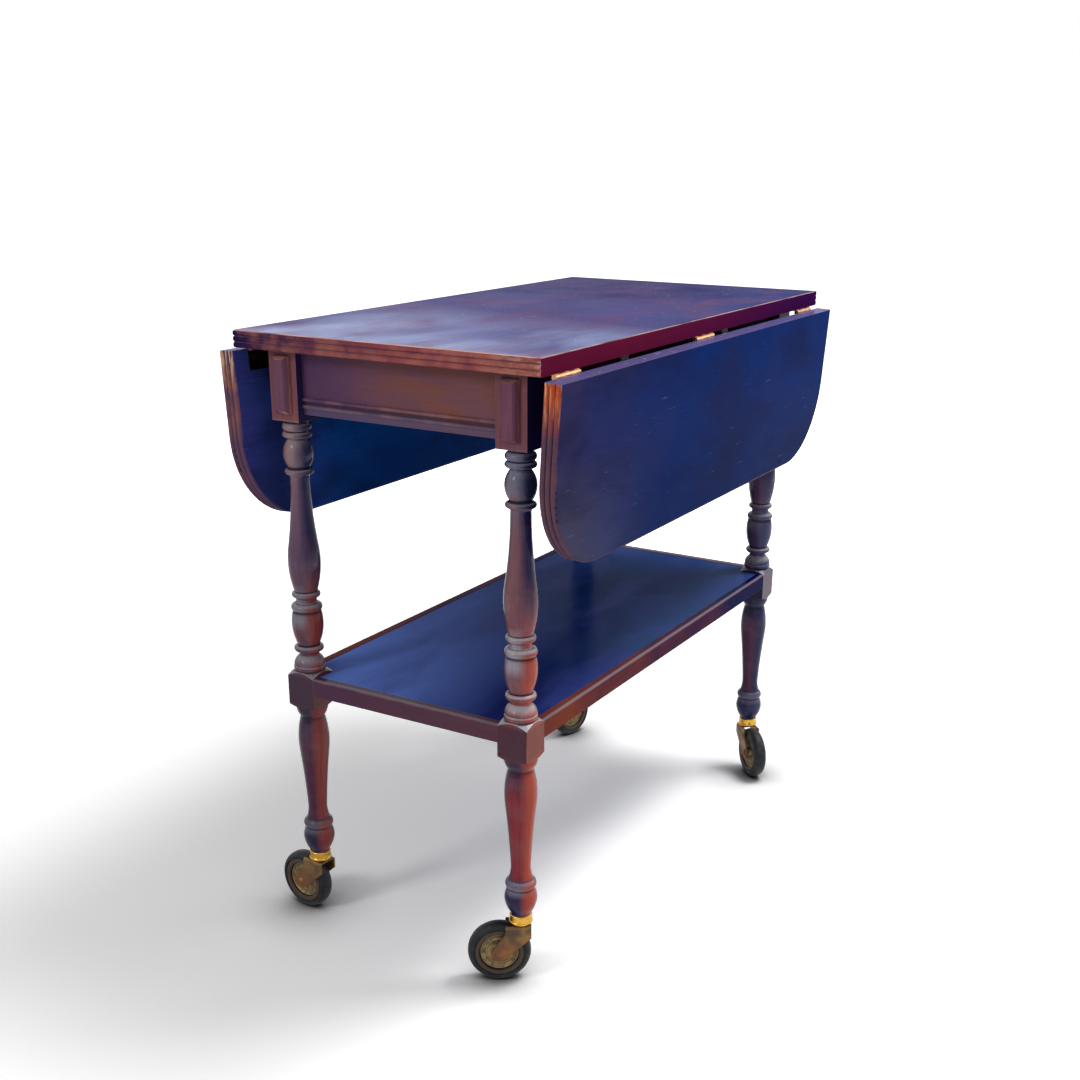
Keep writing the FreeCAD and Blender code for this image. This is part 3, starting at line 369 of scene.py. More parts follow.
@dataclass(frozen=True)
class BareWood:
    """Unfinished beech inside the frame: pale, dry and open-grained."""

    name: str = "bare_beech"
    colour: str = "#b08a5f"
    shade: str = "#8d6a45"
    grain_size: Point = (24.0, 24.0, 3.0)
    grain_bump: float = 0.2
    grain_depth: float = 0.2
    roughness: float = 0.7
    index: float = 1.5

    def material(self) -> bpy.types.Material:
        """Builds the material.

        Returns:
            The bare wood as a material.
        """
        recipe = Recipe(bpy.data.materials.new(self.name))
        grain = recipe.figure(self.grain_size, detail=4.0)
        colour = recipe.add("Mix", grain, linear(self.colour), linear(self.shade), data_type="RGBA")
        bump = recipe.add("Bump", self.grain_bump, self.grain_depth * MM, Height=grain)
        return recipe.finish(Base_Color=colour, Roughness=self.roughness, IOR=self.index, Normal=bump)


@dataclass(frozen=True)
class Metal:
    """A worn metal: bright where it is rubbed, with a duller film of tarnish or rust in soft patches."""

    name: str
    bright: str
    tarnish: str
    patch: float
    patch_range: Range
    roughness: float
    film_metallic: float = 0.8
    film_dullness: float = 0.25
    film_on_arris: float = 0.4
    arris_range: Range = (0.1, 0.6)
    patch_seed: float = 1.0
    grit: float = 0.8
    grit_bump: float = 0.08
    grit_depth: float = 0.1
    washes: tuple[Wash, ...] = ()

    def material(self) -> bpy.types.Material:
        """Builds the material.

        Returns:
            The metal as a material.
        """
        recipe = Recipe(bpy.data.materials.new(self.name))
        patches = recipe.figure((self.patch,) * 3, detail=5.0, seed=self.patch_seed)
        film = recipe.add("MapRange", patches, *self.patch_range)
        raised = recipe.add("Attribute", attribute_name="raised", output="Fac")
        kept = recipe.add("MapRange", raised, *self.arris_range, 1.0, self.film_on_arris)
        film = recipe.add("Math", film, kept, operation="MULTIPLY")
        colour = recipe.add("Mix", film, linear(self.bright), linear(self.tarnish), data_type="RGBA")
        for wash in self.washes:
            colour = wash.over(recipe, colour)
        metallic = recipe.add("MapRange", film, 0.0, 1.0, 1.0, self.film_metallic)
        rough = recipe.add("MapRange", film, 0.0, 1.0, self.roughness, self.roughness + self.film_dullness)
        fine = recipe.figure((self.grit,) * 3)
        bump = recipe.add("Bump", self.grit_bump, self.grit_depth * MM, Height=fine)
        return recipe.finish(Base_Color=colour, Metallic=metallic, Roughness=rough, Normal=bump)


@dataclass(frozen=True)
class Rubber:
    """Moulded black rubber, browned and dusty on the side walls, with painted shade in the groove beside them.
    """

    name: str = "moulded_rubber"
    tread: str = "#15171f"
    wall: str = "#44352b"
    groove: str = "#0f0e0f"
    dust: str = "#5c5148"
    dustiness: float = 0.3
    dust_size: float = 7.0
    dust_range: Range = (0.5, 0.75)
    grit: float = 1.2
    grit_bump: float = 0.15
    grit_depth: float = 0.1
    roughness: float = 0.5
    gloss: float = 0.25
    index: float = 1.52

    def material(self) -> bpy.types.Material:
        """Builds the material.

        Returns:
            The rubber as a material.
        """
        recipe = Recipe(bpy.data.materials.new(self.name))
        walled = recipe.add("Attribute", attribute_name="side_wall", output="Fac")
        side = recipe.add("Clamp", walled)
        colour = recipe.add("Mix", side, linear(self.tread), linear(self.wall), data_type="RGBA")
        # painted shade, darker in the groove and at the edge by the disc's rim
        sunk = recipe.add("MapRange", walled, 0.0, -1.0)
        colour = recipe.add("Mix", sunk, colour, linear(self.groove), data_type="RGBA")
        dusty = recipe.figure((self.dust_size,) * 3, detail=5.0)
        dusty = recipe.add("MapRange", dusty, *self.dust_range, 0.0, self.dustiness)
        colour = recipe.add("Mix", dusty, colour, linear(self.dust), data_type="RGBA")
        fine = recipe.figure((self.grit,) * 3, detail=3.0)
        bump = recipe.add("Bump", self.grit_bump, self.grit_depth * MM, Height=fine)
        return recipe.finish(Base_Color=colour, Roughness=self.roughness, IOR=self.index,
                             Specular_IOR_Level=self.gloss, Normal=bump)


Finish = Lacquer | BareWood | Metal | Rubber

# The top, leaves, shelf and side boards have far less gloss than lacquer has, so that they hold their colour
# where they are seen nearly edge-on. The legs have the most.

# the top takes the most use: hazed and marked, with its upper arris rubbed pale; light, shade and reflections
# are painted on its face and edges
TOP_ARRIS = upright(728.8, 729.2)
TOP_LACQUER = Lacquer(
    "lacquered_mahogany_top", near="#544a84", far="#2d2a5e", grain=Grain.LENGTHWISE, rubbed="#c07a66",
    rubbing=0.45, gloss=0.0002, roughness=0.2, streaks=0.15, cloud=0.3,
    washes=(
        # underside
        Wash("#4a2838", lie=Lie.UP, square=(-0.3, -0.6)),
        # face: painted reflection, darker to the right and milky pale to the front and left, with violet
        # patches, faint marks and scratches
        Wash("#2c3470", 0.8, runs=(crosswise(-20.0, -190.0),), lie=Lie.UP),
        Wash("#64648f", 0.55, runs=(((160.0, -220.0, 0.0), (-240.0, 120.0, 0.0)),), lie=Lie.UP),
        Wash("#bccaec", runs=(((-80.0, 0.0, 0.0), (-390.0, 60.0, 0.0)),), lie=Lie.UP,
             patch=(240.0, 130.0, 80.0), patch_range=(0.25, 0.7)),
        Wash("#6a4468", 0.5, lie=Lie.UP, patch=(130.0, 80.0, 70.0), patch_range=(0.48, 0.72)),
        Wash("#8a6078", 0.4, runs=(lengthwise(-240.0, -381.0),), lie=Lie.UP,
             patch=(120.0, 90.0, 60.0), patch_range=(0.4, 0.7)),
        Wash("#c9cfe4", 0.6, lie=Lie.UP, patch=(10.0, 2.5, 9.0), patch_range=(0.7, 0.76)),
        Wash("#c9cfe4", 0.5, lie=Lie.UP, patch=(3.0, 26.0, 9.0), patch_range=(0.72, 0.77)),
        # long edges: the right one painted lit and darker towards the rear, the left one painted in shade
        Wash("#681838", lie=Lie.RIGHT),
        Wash("#380e48", runs=(lengthwise(-170.0, 330.0),), lie=Lie.RIGHT),
        Wash("#3c1440", lie=Lie.LEFT),
        # front end: painted light, redder to the right, with a pale painted highlight towards the right corner
        Wash("#2c1a46", lie=Lie.FRONT, square=(0.2, 0.7)),
        Wash("#9a5054", 0.9, runs=(crosswise(190.0, -20.0),), lie=Lie.FRONT, square=(0.2, 0.7)),
        Wash("#d8a890", 0.8, runs=(crosswise(-120.0, -196.0),), lie=Lie.FRONT, square=(0.2, 0.7),
             patch=(40.0, 14.0, 5.0)),
        # upper arris: rubbed pale, with a painted highlight
        Wash("#e6c6b8", 0.85, runs=(TOP_ARRIS,), lie=Lie.FRONT, square=(0.2, 0.5),
             patch=(40.0, 60.0, 5.0), patch_range=(0.3, 0.5)),
        Wash("#e6c6b8", 0.85, runs=(TOP_ARRIS,), lie=Lie.RIGHT, square=(0.2, 0.5),
             patch=(60.0, 40.0, 5.0), patch_range=(0.32, 0.52)),
    ))

# the leaves hang out of the way of wear: dark and softly clouded, with rubbed reeds
LEFT_LEAF = crosswise(150.0, 160.0)
RIGHT_LEAF = crosswise(150.0, 140.0)
LEAF_LACQUER = Lacquer(
    "lacquered_mahogany_leaf", near="#312f5c", far="#04286a", grain=Grain.LENGTHWISE, rubbed="#c27a58",
    rubbing=0.5, gloss=0.005, roughness=0.2, cloud=0.2, hollow_shade=0.6, streaks=0.18,
    start=(-380.0, 0.0, 0.0), end=(-120.0, 0.0, 0.0),
    washes=(
        # inner face of the left leaf: painted lighter where the leaf's shade falls, violet towards the front
        Wash("#0a55b0", runs=(LEFT_LEAF,), lie=Lie.RIGHT),
        Wash("#5c3272", 0.45, runs=(LEFT_LEAF, lengthwise(-200.0, -370.0)), lie=Lie.RIGHT),
        # lower front corner of the right leaf
        Wash("#54505c", 0.8, runs=(upright(630.0, 520.0), lengthwise(-170.0, -370.0), RIGHT_LEAF)),
        # lower part of both leaves: clouds, painted shade darker towards the bottom and the rear, and faint
        # scratches
        Wash("#3a4a7c", 0.18, runs=(upright(600.0, 520.0),), patch=(160.0, 90.0, 50.0)),
        Wash("#00184c", 0.55, runs=(upright(620.0, 545.0), lengthwise(-260.0, -130.0))),
        Wash("#14163a", 0.45, patch=(120.0, 80.0, 60.0), patch_range=(0.46, 0.66)),
        Wash("#9aa6cc", 0.2, patch=(26.0, 12.0, 2.0), patch_range=(0.7, 0.77)),
        # front ends: redder high up on the right leaf, with pale streaks there that are rubbed lacquer and
        # painted highlights along the reeds
        Wash("#6a4c5e", 0.9, lie=Lie.FRONT, square=(0.1, 0.6)),
        Wash("#c8552c", 0.9, runs=(upright(650.0, 690.0), RIGHT_LEAF), lie=Lie.FRONT, square=(0.1, 0.6)),
        Wash("#f0c8a0", 0.8, runs=(upright(660.0, 695.0),), lie=Lie.FRONT, square=(0.1, 0.6),
             patch=(6.0, 3.0, 30.0), patch_range=(0.5, 0.6)),
        # edge beside the hinges, streaked pale
        Wash("#655c8c", 0.8, lie=Lie.UP),
        Wash("#cfc6dc", 0.8, lie=Lie.UP, patch=(22.0, 3.0, 3.0), patch_range=(0.66, 0.74)),
    ))

# the shelf is smooth and dark, with a pale painted reflection on its open side
SHELF_LACQUER = Lacquer(
    "lacquered_mahogany_shelf", near="#1c2466", far="#003070", grain=Grain.LENGTHWISE, rubbed="#9a6a55",
    start=(-340.0, 0.0, 0.0), end=(250.0, 0.0, 0.0), roughness=0.18, gloss=0.004, streaks=0.1,
    washes=(
        # face: painted reflection, pale to the left and front and grey-blue along the right edge; clouded
        Wash("#6c90f0", runs=(((0.0, -40.0, 0.0), (-30.0, 120.0, 0.0)), lengthwise(150.0, -300.0)),
             lie=Lie.UP),
        Wash("#3c5c88", 0.5, runs=(crosswise(-60.0, -125.0), lengthwise(-160.0, -40.0)), lie=Lie.UP),
        Wash("#3c4c96", 0.5, lie=Lie.UP, patch=(160.0, 70.0, 60.0)),
    ))

# turnings shine along every ring: painted shade in the hollow rings, painted silvery highlights and reddish
# painted light where they swell
UPPER_TURNING = upright(545.0, 600.0)
SHELF_BLOCK = (upright(330.0, 322.0), upright(270.0, 290.0))
TO_REAR = lengthwise(0.0, 330.0)
TO_LEFT = crosswise(0.0, 150.0)
LEG_LACQUER = Lacquer(
    # the silvery rub on what stands out is a painted highlight
    "lacquered_mahogany_turnings", near="#7e565f", far="#494770", grain=Grain.UPRIGHT, rubbed="#b4a2a8",
    gloss=0.15, roughness=0.12, streaks=0.2, rubbing=0.45,
    washes=(
        # upper turning in painted shade under the top, browner on the left legs; block
        Wash("#6c7088", 0.85, runs=(UPPER_TURNING,)),
        Wash("#b0806e", 0.5, runs=(UPPER_TURNING, TO_LEFT)),
        Wash("#7a444c", 0.9, runs=(upright(627.0, 633.0),)),
        # turnings between the blocks: painted light, redder where they face the front, flecked orange, and a
        # painted silvery highlight on the barrel
        Wash("#84342c", 0.8, runs=(upright(500.0, 440.0),), lie=Lie.FRONT, square=(0.5, 1.0),
             patch=(30.0, 30.0, 40.0)),
        Wash("#a05a3c", 0.45, patch=(14.0, 14.0, 34.0), patch_range=(0.6, 0.7)),
        Wash("#a09aaa", 0.9, lie=Lie.FRONT, square=(0.6, 0.95),
             runs=(upright(382.0, 394.0), upright(440.0, 420.0), lengthwise(600.0, -250.0))),
        # vase, dark, with painted light where it faces the front; shelf block with painted shade on its front;
        # foot, and a painted silvery highlight on its ring
        Wash("#241f44", runs=(upright(290.0, 280.0),)),
        Wash("#8c2a30", 0.9, lie=Lie.FRONT, square=(0.6, 0.95),
             runs=(upright(275.0, 235.0), upright(125.0, 135.0), crosswise(320.0, -60.0),
                   lengthwise(900.0, -100.0))),
        Wash("#442032", 0.9, runs=SHELF_BLOCK, lie=Lie.FRONT, square=(0.2, 0.9)),
        Wash("#2c2348", 0.8, runs=(upright(130.0, 118.0),)),
        Wash("#837d90", 0.7, runs=(upright(112.0, 118.0), upright(132.0, 126.0))),
        # right sides: painted light, orange-red low down, and painted shade of the leaf, dark blue high up
        Wash("#bc4c32", 0.85, runs=(upright(470.0, 400.0), lengthwise(300.0, -200.0)), lie=Lie.RIGHT,
             square=(0.4, 0.85)),
        Wash("#7a2c18", runs=SHELF_BLOCK, lie=Lie.RIGHT, square=(0.9, 0.98)),
        Wash("#101a50", 0.9, runs=(upright(440.0, 500.0),), lie=Lie.RIGHT, square=(0.3, 0.85)),
        # shoulders: painted highlights on the faces that look up
        Wash("#d8d0d4", 0.8, runs=(upright(295.0, 320.0), upright(500.0, 420.0)), lie=Lie.UP,
             square=(0.2, 0.8)),
        Wash("#a4a4b4", 0.45, lie=Lie.UP, square=(0.3, 0.8)),
        # rear and left legs, and the sides that look to the left and the rear: painted shade, darker
        Wash("#22305c", 0.4, runs=(TO_REAR,)),
        Wash("#24243c", 0.45, runs=(TO_LEFT, upright(500.0, 430.0))),
        Wash("#1c2448", 0.6, runs=(TO_REAR, upright(345.0, 330.0), upright(250.0, 275.0))),
        Wash("#191430", 0.75, lie=Lie.LEFT, square=(0.25, 0.8)),
        Wash("#191430", 0.6, lie=Lie.FRONT, square=(0.0, -0.5)),
    ))

# aprons and rails at the ends are plain and even, with painted light that makes them browner on one side
END_BOARD_LACQUER = Lacquer(
    "lacquered_mahogany_end_board", near="#55395c", far="#78505c", grain=Grain.CROSSWISE, rubbing=0.3,
    rubbed="#b08078", start=(0.0, 140.0, 0.0), end=(0.0, -60.0, 0.0), cloud=0.2, streaks=0.1, hollow_shade=0.55,
    gloss=0.06,
    washes=(
        # painted light, browner to the right
        Wash("#84503c", 0.7, runs=(crosswise(90.0, -20.0),), patch=(60.0, 90.0, 30.0)),
        # shelf rail
        Wash("#4f3044", 0.8, runs=(upright(420.0, 400.0),)),
        # apron's lower edge with its beads
        Wash("#5a526e", 0.7, runs=(upright(655.0, 648.0), upright(400.0, 420.0))),
        # painted highlight along the rail's outer upper arris
        Wash("#9a93a0", 0.5, runs=(lengthwise(-352.0, -353.5),), lie=Lie.UP, square=(0.3, 0.8)),
    ))

# aprons and rails along the sides go from red-brown at the front to nearly black-blue at the rear: painted
# light falling off towards the rear
SIDE_BOARD_LACQUER = Lacquer(
    "lacquered_mahogany_side_board", near="#7d3c2b", far="#080842", grain=Grain.LENGTHWISE, rubbing=0.3,
    gloss=0.006, streaks=0.15, start=(-340.0, 0.0, 0.0), end=(180.0, 0.0, 0.0),
    washes=(
        # apron, shaded by the leaf
        Wash("#2c1c30", 0.85, runs=(upright(500.0, 600.0),)),
        # painted highlight along the rail's outer upper arris
        Wash("#9a93a0", 0.6, runs=(crosswise(-162.0, -163.5),), lie=Lie.UP, square=(0.3, 0.8)),
    ))

# the pads' bevels are rubbed by hands and show bare wood
PAD_LACQUER = Lacquer(
    "lacquered_mahogany_pads", near="#764a5e", far="#5a4462", grain=Grain.UPRIGHT, rubbed="#c08068",
    rubbing=0.6, gloss=0.08, streaks=0.15)

# spun brass ferrules: a bright, warm yellow under a thin brown film
BRASS = Metal(
    "polished_brass", bright="#cf9f42", tarnish="#97703a", patch=9.0, patch_range=(0.5, 0.8), roughness=0.2)

# pressed brass hinges and screws: dull and pinkish, with painted shade, nearly black, where they are closed in
HINGE_BRASS = Metal(
    "tarnished_brass_hinges", bright="#dda878", tarnish="#a87a50", patch=9.0, patch_range=(0.45, 0.75),
    roughness=0.3,
    washes=(
        # painted shade inwards of the pins and below them
        Wash("#2c2018", 0.95, runs=(crosswise(-194.0, -192.5), crosswise(194.0, 192.5))),
        Wash("#2c2018", 0.95, runs=(upright(704.5, 703.5),)),
    ))

# zinc-plated steel: a cool, slightly cloudy grey
STEEL = Metal(
    "zinc_plated_steel", bright="#b9b9b6", tarnish="#7d7a75", patch=14.0, patch_range=(0.45, 0.8),
    roughness=0.38)

# steel plated in bronze colour: dull brown, redder low down where floors rub it
CASTOR_BRONZE = Metal(
    "bronze_plated_steel", bright="#80653f", tarnish="#523e2c", patch=16.0, patch_range=(0.4, 0.62),
    roughness=0.42, film_metallic=0.3, washes=(Wash("#7c4a2e", 0.6, runs=(upright(64.0, 40.0),)),))

# pressed steel discs: brownish grey, with old dirt in small patches
DISC_STEEL = Metal(
    "pressed_steel_disc", bright="#877553", tarnish="#51422f", patch=6.0, patch_range=(0.4, 0.7),
    roughness=0.5, film_metallic=0.4)

SLOT_FINISHES: dict[str, Finish] = {
    "inner_wood": BareWood(),
    "brass": HINGE_BRASS,
    "steel": STEEL,
    "castor_metal": CASTOR_BRONZE,
}


# Making pieces


@dataclass
class Bench:
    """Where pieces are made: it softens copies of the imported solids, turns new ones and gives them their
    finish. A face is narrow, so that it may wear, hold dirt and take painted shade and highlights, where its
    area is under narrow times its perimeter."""

    made: dict[str, bpy.types.Material] = field(default_factory=dict)
    weld: float = 0.002
    sliver: float = 0.01
    narrow: float = 2.5
    flat: float = math.radians(0.5)
    sharp: float = math.radians(28.0)
    crease: float = math.radians(50.0)
    full_bend: float = math.radians(45.0)

    def slot(self, node: str) -> str:
        """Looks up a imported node's material slot in the record."""
        return next(part["material_slot"] for part in frame["record"]["subparts"] if part["node"] == node)

    def material(self, finish: Finish) -> bpy.types.Material:
        """Gives the material of a finish, which is made once.

        Args:
            finish: the finish.

        Returns:
            Its material.
        """
        if finish.name not in self.made:
            self.made[finish.name] = finish.material()
        return self.made[finish.name]

    def mark_raised(self, shape: bmesh.types.BMesh) -> None:
        """Marks how far each spot stands out, from -1 in a hollow to 1 on an arris, for wear, dirt, painted
        shade and highlights.

        Args:
            shape: the mesh to mark; wide flat faces keep 0.
        """
        marks = shape.loops.layers.float.new("raised")
        bends = {}
        for vert in shape.verts:
            angles = [0.0] + [edge.calc_face_angle_signed(0.0)
                              for edge in vert.link_edges if edge.is_manifold]
            bends[vert] = (max(angles) + min(angles)) / self.full_bend
        for face in shape.faces:
            if face.calc_area() < self.narrow * MM * face.calc_perimeter():
                for corner in face.loops:
                    corner[marks] = max(-1.0, min(1.0, bends[corner.vert]))

    def settle(self, shape: bmesh.types.BMesh, name: str, node: str, finish: Finish) -> bpy.types.Object:
        """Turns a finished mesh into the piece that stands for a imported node.

        Args:
            shape: the mesh, in place; it is freed.
            name: the piece's name.
            node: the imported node, whose body carries the piece.
            finish: the piece's finish.

        Returns:
            The piece.
        """
        mesh = bpy.data.meshes.new(name)
        shape.to_mesh(mesh)
        shape.free()
        for layer in ("custom_normal", "material_index"):
            if layer in mesh.attributes:
                mesh.attributes.remove(mesh.attributes[layer])
        mesh.shade_smooth()
        mesh.set_sharp_from_angle(angle=self.crease)
        mesh.materials.append(self.material(finish))
        piece = bpy.data.objects.new(name, mesh)
        bpy.context.scene.collection.objects.link(piece)
        weighted = piece.modifiers.new("face_weighted_normals", "WEIGHTED_NORMAL")
        weighted.keep_sharp = True
        body = frame["nodes"][node]["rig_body"]
        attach(piece, body)
        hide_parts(node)
        log.info("%s: %d faces on %s, in %s", name, len(mesh.polygons), body, finish.name)
        return piece

    def softened(self, node: str, name: str, finish: Finish, radius: float,
                 segments: int = 2) -> bpy.types.Object:
        """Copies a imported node, eases its sharp outer arrises and lets the copy stand for it.

        Args:
            node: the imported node.
            name: the new piece's name.
            finish: the new piece's finish.
            radius: how far each arris is eased, in millimetres.
            segments: how many faces round an arris.

        Returns:
            The new piece.
        """
        shape = bmesh.new()
        shape.from_mesh(frame["nodes"][node].data)
        bmesh.ops.remove_doubles(shape, verts=shape.verts, dist=self.weld * MM)
        bmesh.ops.dissolve_limit(shape, angle_limit=self.flat, verts=shape.verts, edges=shape.edges)
        arrises = [edge for edge in shape.edges
                   if edge.is_manifold and edge.is_convex and edge.calc_face_angle(0.0) > self.sharp]
        bmesh.ops.bevel(shape, geom=arrises, offset=radius * MM, offset_type="OFFSET", affect="EDGES",
                        segments=segments, profile=0.5, material=-1, clamp_overlap=True)
        bmesh.ops.dissolve_degenerate(shape, dist=self.sliver * MM, edges=shape.edges)
        self.mark_raised(shape)
        return self.settle(shape, name, node, finish)

    def spun(self, half: list[tuple[float, float]], spin: str, steps: int) -> bmesh.types.BMesh:
        """Turns an outline that is the same on both sides round an axle.

        Args:
            half: (radius, distance along the axle) in millimetres, from the bore outwards on one side.
            spin: the joint that the axle belongs to.
            steps: how many faces round the axle.

        Returns:
            A closed mesh, in place.
        """
        centre, axle = axle_of(spin)
        out = axle.orthogonal().normalized()
        outline = half + [(radius, -along) for radius, along in reversed(half)]
        shape = bmesh.new()
        verts = [shape.verts.new(centre + (out * radius + axle * along) * MM) for radius, along in outline]
        edges = [shape.edges.new(pair) for pair in zip(verts, verts[1:] + verts[:1])]
        bmesh.ops.spin(shape, geom=verts + edges, cent=centre, axis=axle, angle=math.tau, steps=steps,
                       use_merge=True)
        bmesh.ops.remove_doubles(shape, verts=shape.verts, dist=self.weld * MM)
        bmesh.ops.recalc_face_normals(shape, faces=shape.faces)
        return shape

    def dressed(self, node: str) -> bpy.types.Object:
        """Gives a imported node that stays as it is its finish.

        Args:
            node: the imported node.

        Returns:
            The node's object.
        """
        piece = frame["nodes"][node]
        slot = self.slot(node)
        finish = SLOT_FINISHES[slot]
        piece.data.materials.clear()
        piece.data.materials.append(self.material(finish))
        log.info("%s: packed solid, in %s", node, finish.name)
        return piece


# Sub-assemblies


@dataclass
class TableTop:
    """The fixed board, with eased arrises."""

    arris: float = 0.9

    def build(self, bench: Bench) -> None:
        """Builds the board."""
        bench.softened("table_top", "table_top_board", TOP_LACQUER, self.arris, segments=3)


@dataclass
class DropLeaf:
    """One hinged leaf with what is screwed to it."""

    side: str
    arris: float = 0.4

    def build(self, bench: Bench) -> None:
        """Builds the board and dresses its fittings.

        Args:
            bench: where they are made.
        """
        bench.softened(f"{self.side}_leaf", f"{self.side}_leaf_board", LEAF_LACQUER, self.arris)
        for fitting in ("leaf_screws", "hinge_leaf_plates", "stay_lugs"):
            bench.dressed(f"{self.side}_{fitting}")


@dataclass
class FoldingStay:
    """The pair of folding stays under one leaf."""

    side: str

    def build(self, bench: Bench) -> None:
        """Dresses the brackets and both arms.

        Args:
            bench: where they are dressed.
        """
        for fitting in ("brackets", "long_arms", "short_arms"):
            bench.dressed(f"{self.side}_stay_{fitting}")


@dataclass
class TurnedLeg:
    """One leg, turned between its square blocks, with softened members."""

    corner: str
    arris: float = 0.6

    def build(self, bench: Bench) -> None:
        """Builds the leg."""
        bench.softened(f"{self.corner}_leg", f"{self.corner}_turned_leg", LEG_LACQUER, self.arris)


@dataclass
class Frame:
    """Aprons, pads and rails, and the hidden blocks, dowels, sockets, screws and hinge plates."""

    board_arris: float = 0.7
    pad_arris: float = 0.5
    hidden: tuple[str, ...] = (
        "apron_dowels", "rail_dowels", "corner_blocks", "corner_block_screws", "castor_sockets",
        "frame_screws", "hinge_pins", "right_hinge_top_plates", "left_hinge_top_plates")

    def build(self, bench: Bench) -> None:
        """Builds the boards and pads and dresses the hidden pieces.

        Args:
            bench: where they are made.
        """
        for lacquer, places in ((END_BOARD_LACQUER, ENDS), (SIDE_BOARD_LACQUER, SIDES)):
            for place in places:
                for board in (f"{place}_apron", f"{place}_shelf_rail"):
                    bench.softened(board, f"{board}_board", lacquer, self.board_arris)
        bench.softened("corner_pads", "bevelled_corner_pads", PAD_LACQUER, self.pad_arris)
        for node in self.hidden:
            bench.dressed(node)


@dataclass
class Shelf:
    """The panel that lies in the rails' rebates."""

    arris: float = 0.4

    def build(self, bench: Bench) -> None:
        """Builds the panel."""
        bench.softened("shelf_panel", "shelf_board", SHELF_LACQUER, self.arris)


@dataclass
class Castor:
    """One castor: fork, stem, axle rivet, pressed disc and a tyre with a groove between its wall and its
    tread. The outlines of disc and tyre are half sections, as (radius, distance along the axle), from the
    bore outwards."""

    corner: str
    metal_arris: float = 0.4
    steps: int = 72
    disc: tuple[tuple[float, float], ...] = (
        (3.05, 10.0), (6.4, 10.0), (7.0, 9.6), (7.5, 8.4), (8.4, 5.0), (9.4, 4.5),
        (13.8, 4.2), (14.5, 4.6), (15.1, 5.2), (16.1, 5.2), (16.7, 4.6), (17.4, 4.2),
        (19.6, 4.4), (20.6, 5.4), (21.2, 6.1), (22.0, 6.2), (22.45, 5.8))
    tyre: tuple[tuple[float, float], ...] = (
        (22.5, 5.6), (22.7, 6.9), (23.3, 8.0), (24.4, 8.8), (26.2, 9.1), (28.0, 8.9),
        (28.9, 8.3), (29.3, 7.7), (29.8, 7.7), (30.2, 8.4), (31.0, 9.1), (32.2, 9.0),
        (33.8, 8.3), (35.2, 7.0), (36.3, 5.0), (36.9, 2.6), (37.0, 0.9))
    wall: Range = (23.3, 28.4)
    groove: Range = (28.9, 30.0)

    def build(self, bench: Bench) -> None:
        """Builds the castor's pieces.

        Args:
            bench: where they are made.
        """
        name = f"{self.corner}_castor"
        spin = f"{self.corner}_wheel_spin"
        bench.softened(f"{name}_fork", f"{name}_fork_pressing", CASTOR_BRONZE, self.metal_arris)
        bench.dressed(f"{name}_stem")
        bench.dressed(f"{name}_axle")
        disc = bench.spun(list(self.disc), spin, self.steps)
        bench.mark_raised(disc)
        bench.settle(disc, f"{name}_disc_pressing", f"{name}_wheel_disc", DISC_STEEL)
        tyre = bench.spun(list(self.tyre), spin, self.steps)
        self.mark_wall(tyre, spin)
        bench.settle(tyre, f"{name}_rubber_tyre", f"{name}_tyre", Rubber())

    def mark_wall(self, tyre: bmesh.types.BMesh, spin: str) -> None:
        """Marks the side wall with 1, and with -1 the groove beside it and the edge at the disc's rim.

        Args:
            tyre: the tyre's mesh, in place.
            spin: the joint that the wheel turns on.
        """
        marks = tyre.verts.layers.float.new("side_wall")
        centre, axle = axle_of(spin)
        for vert in tyre.verts:
            reach = vert.co - centre
            radius = (reach - axle * reach.dot(axle)).length / MM
            if self.wall[0] < radius < self.wall[1]:
                vert[marks] = 1.0
            elif radius <= self.wall[0] or self.groove[0] <= radius <= self.groove[1]:
                vert[marks] = -1.0


@dataclass
class Ferrules:
    """The brass ferrules round the legs' feet."""

    lip: float = 0.4

    def build(self, bench: Bench) -> None:
        """Builds the ferrules."""
        bench.softened("castor_ferrules", "brass_ferrules", BRASS, self.lip)


# Studio


@dataclass(frozen=True)
class Softbox:
    """A square diffused lamp."""

    name: str
    place: Point
    side: float
    power: float
    aim: Point = (0.0, 0.0, 0.4)

    def build(self) -> None:
        """Hangs the lamp."""
        data = bpy.data.lights.new(self.name, "AREA")
        data.shape = "SQUARE"
        data.size = self.side
        data.energy = self.power
        lamp = bpy.data.objects.new(self.name, data)
        lamp.location = self.place
        lamp.rotation_euler = (Vector(self.aim) - Vector(self.place)).to_track_quat("-Z", "Y").to_euler()
        bpy.context.scene.collection.objects.link(lamp)


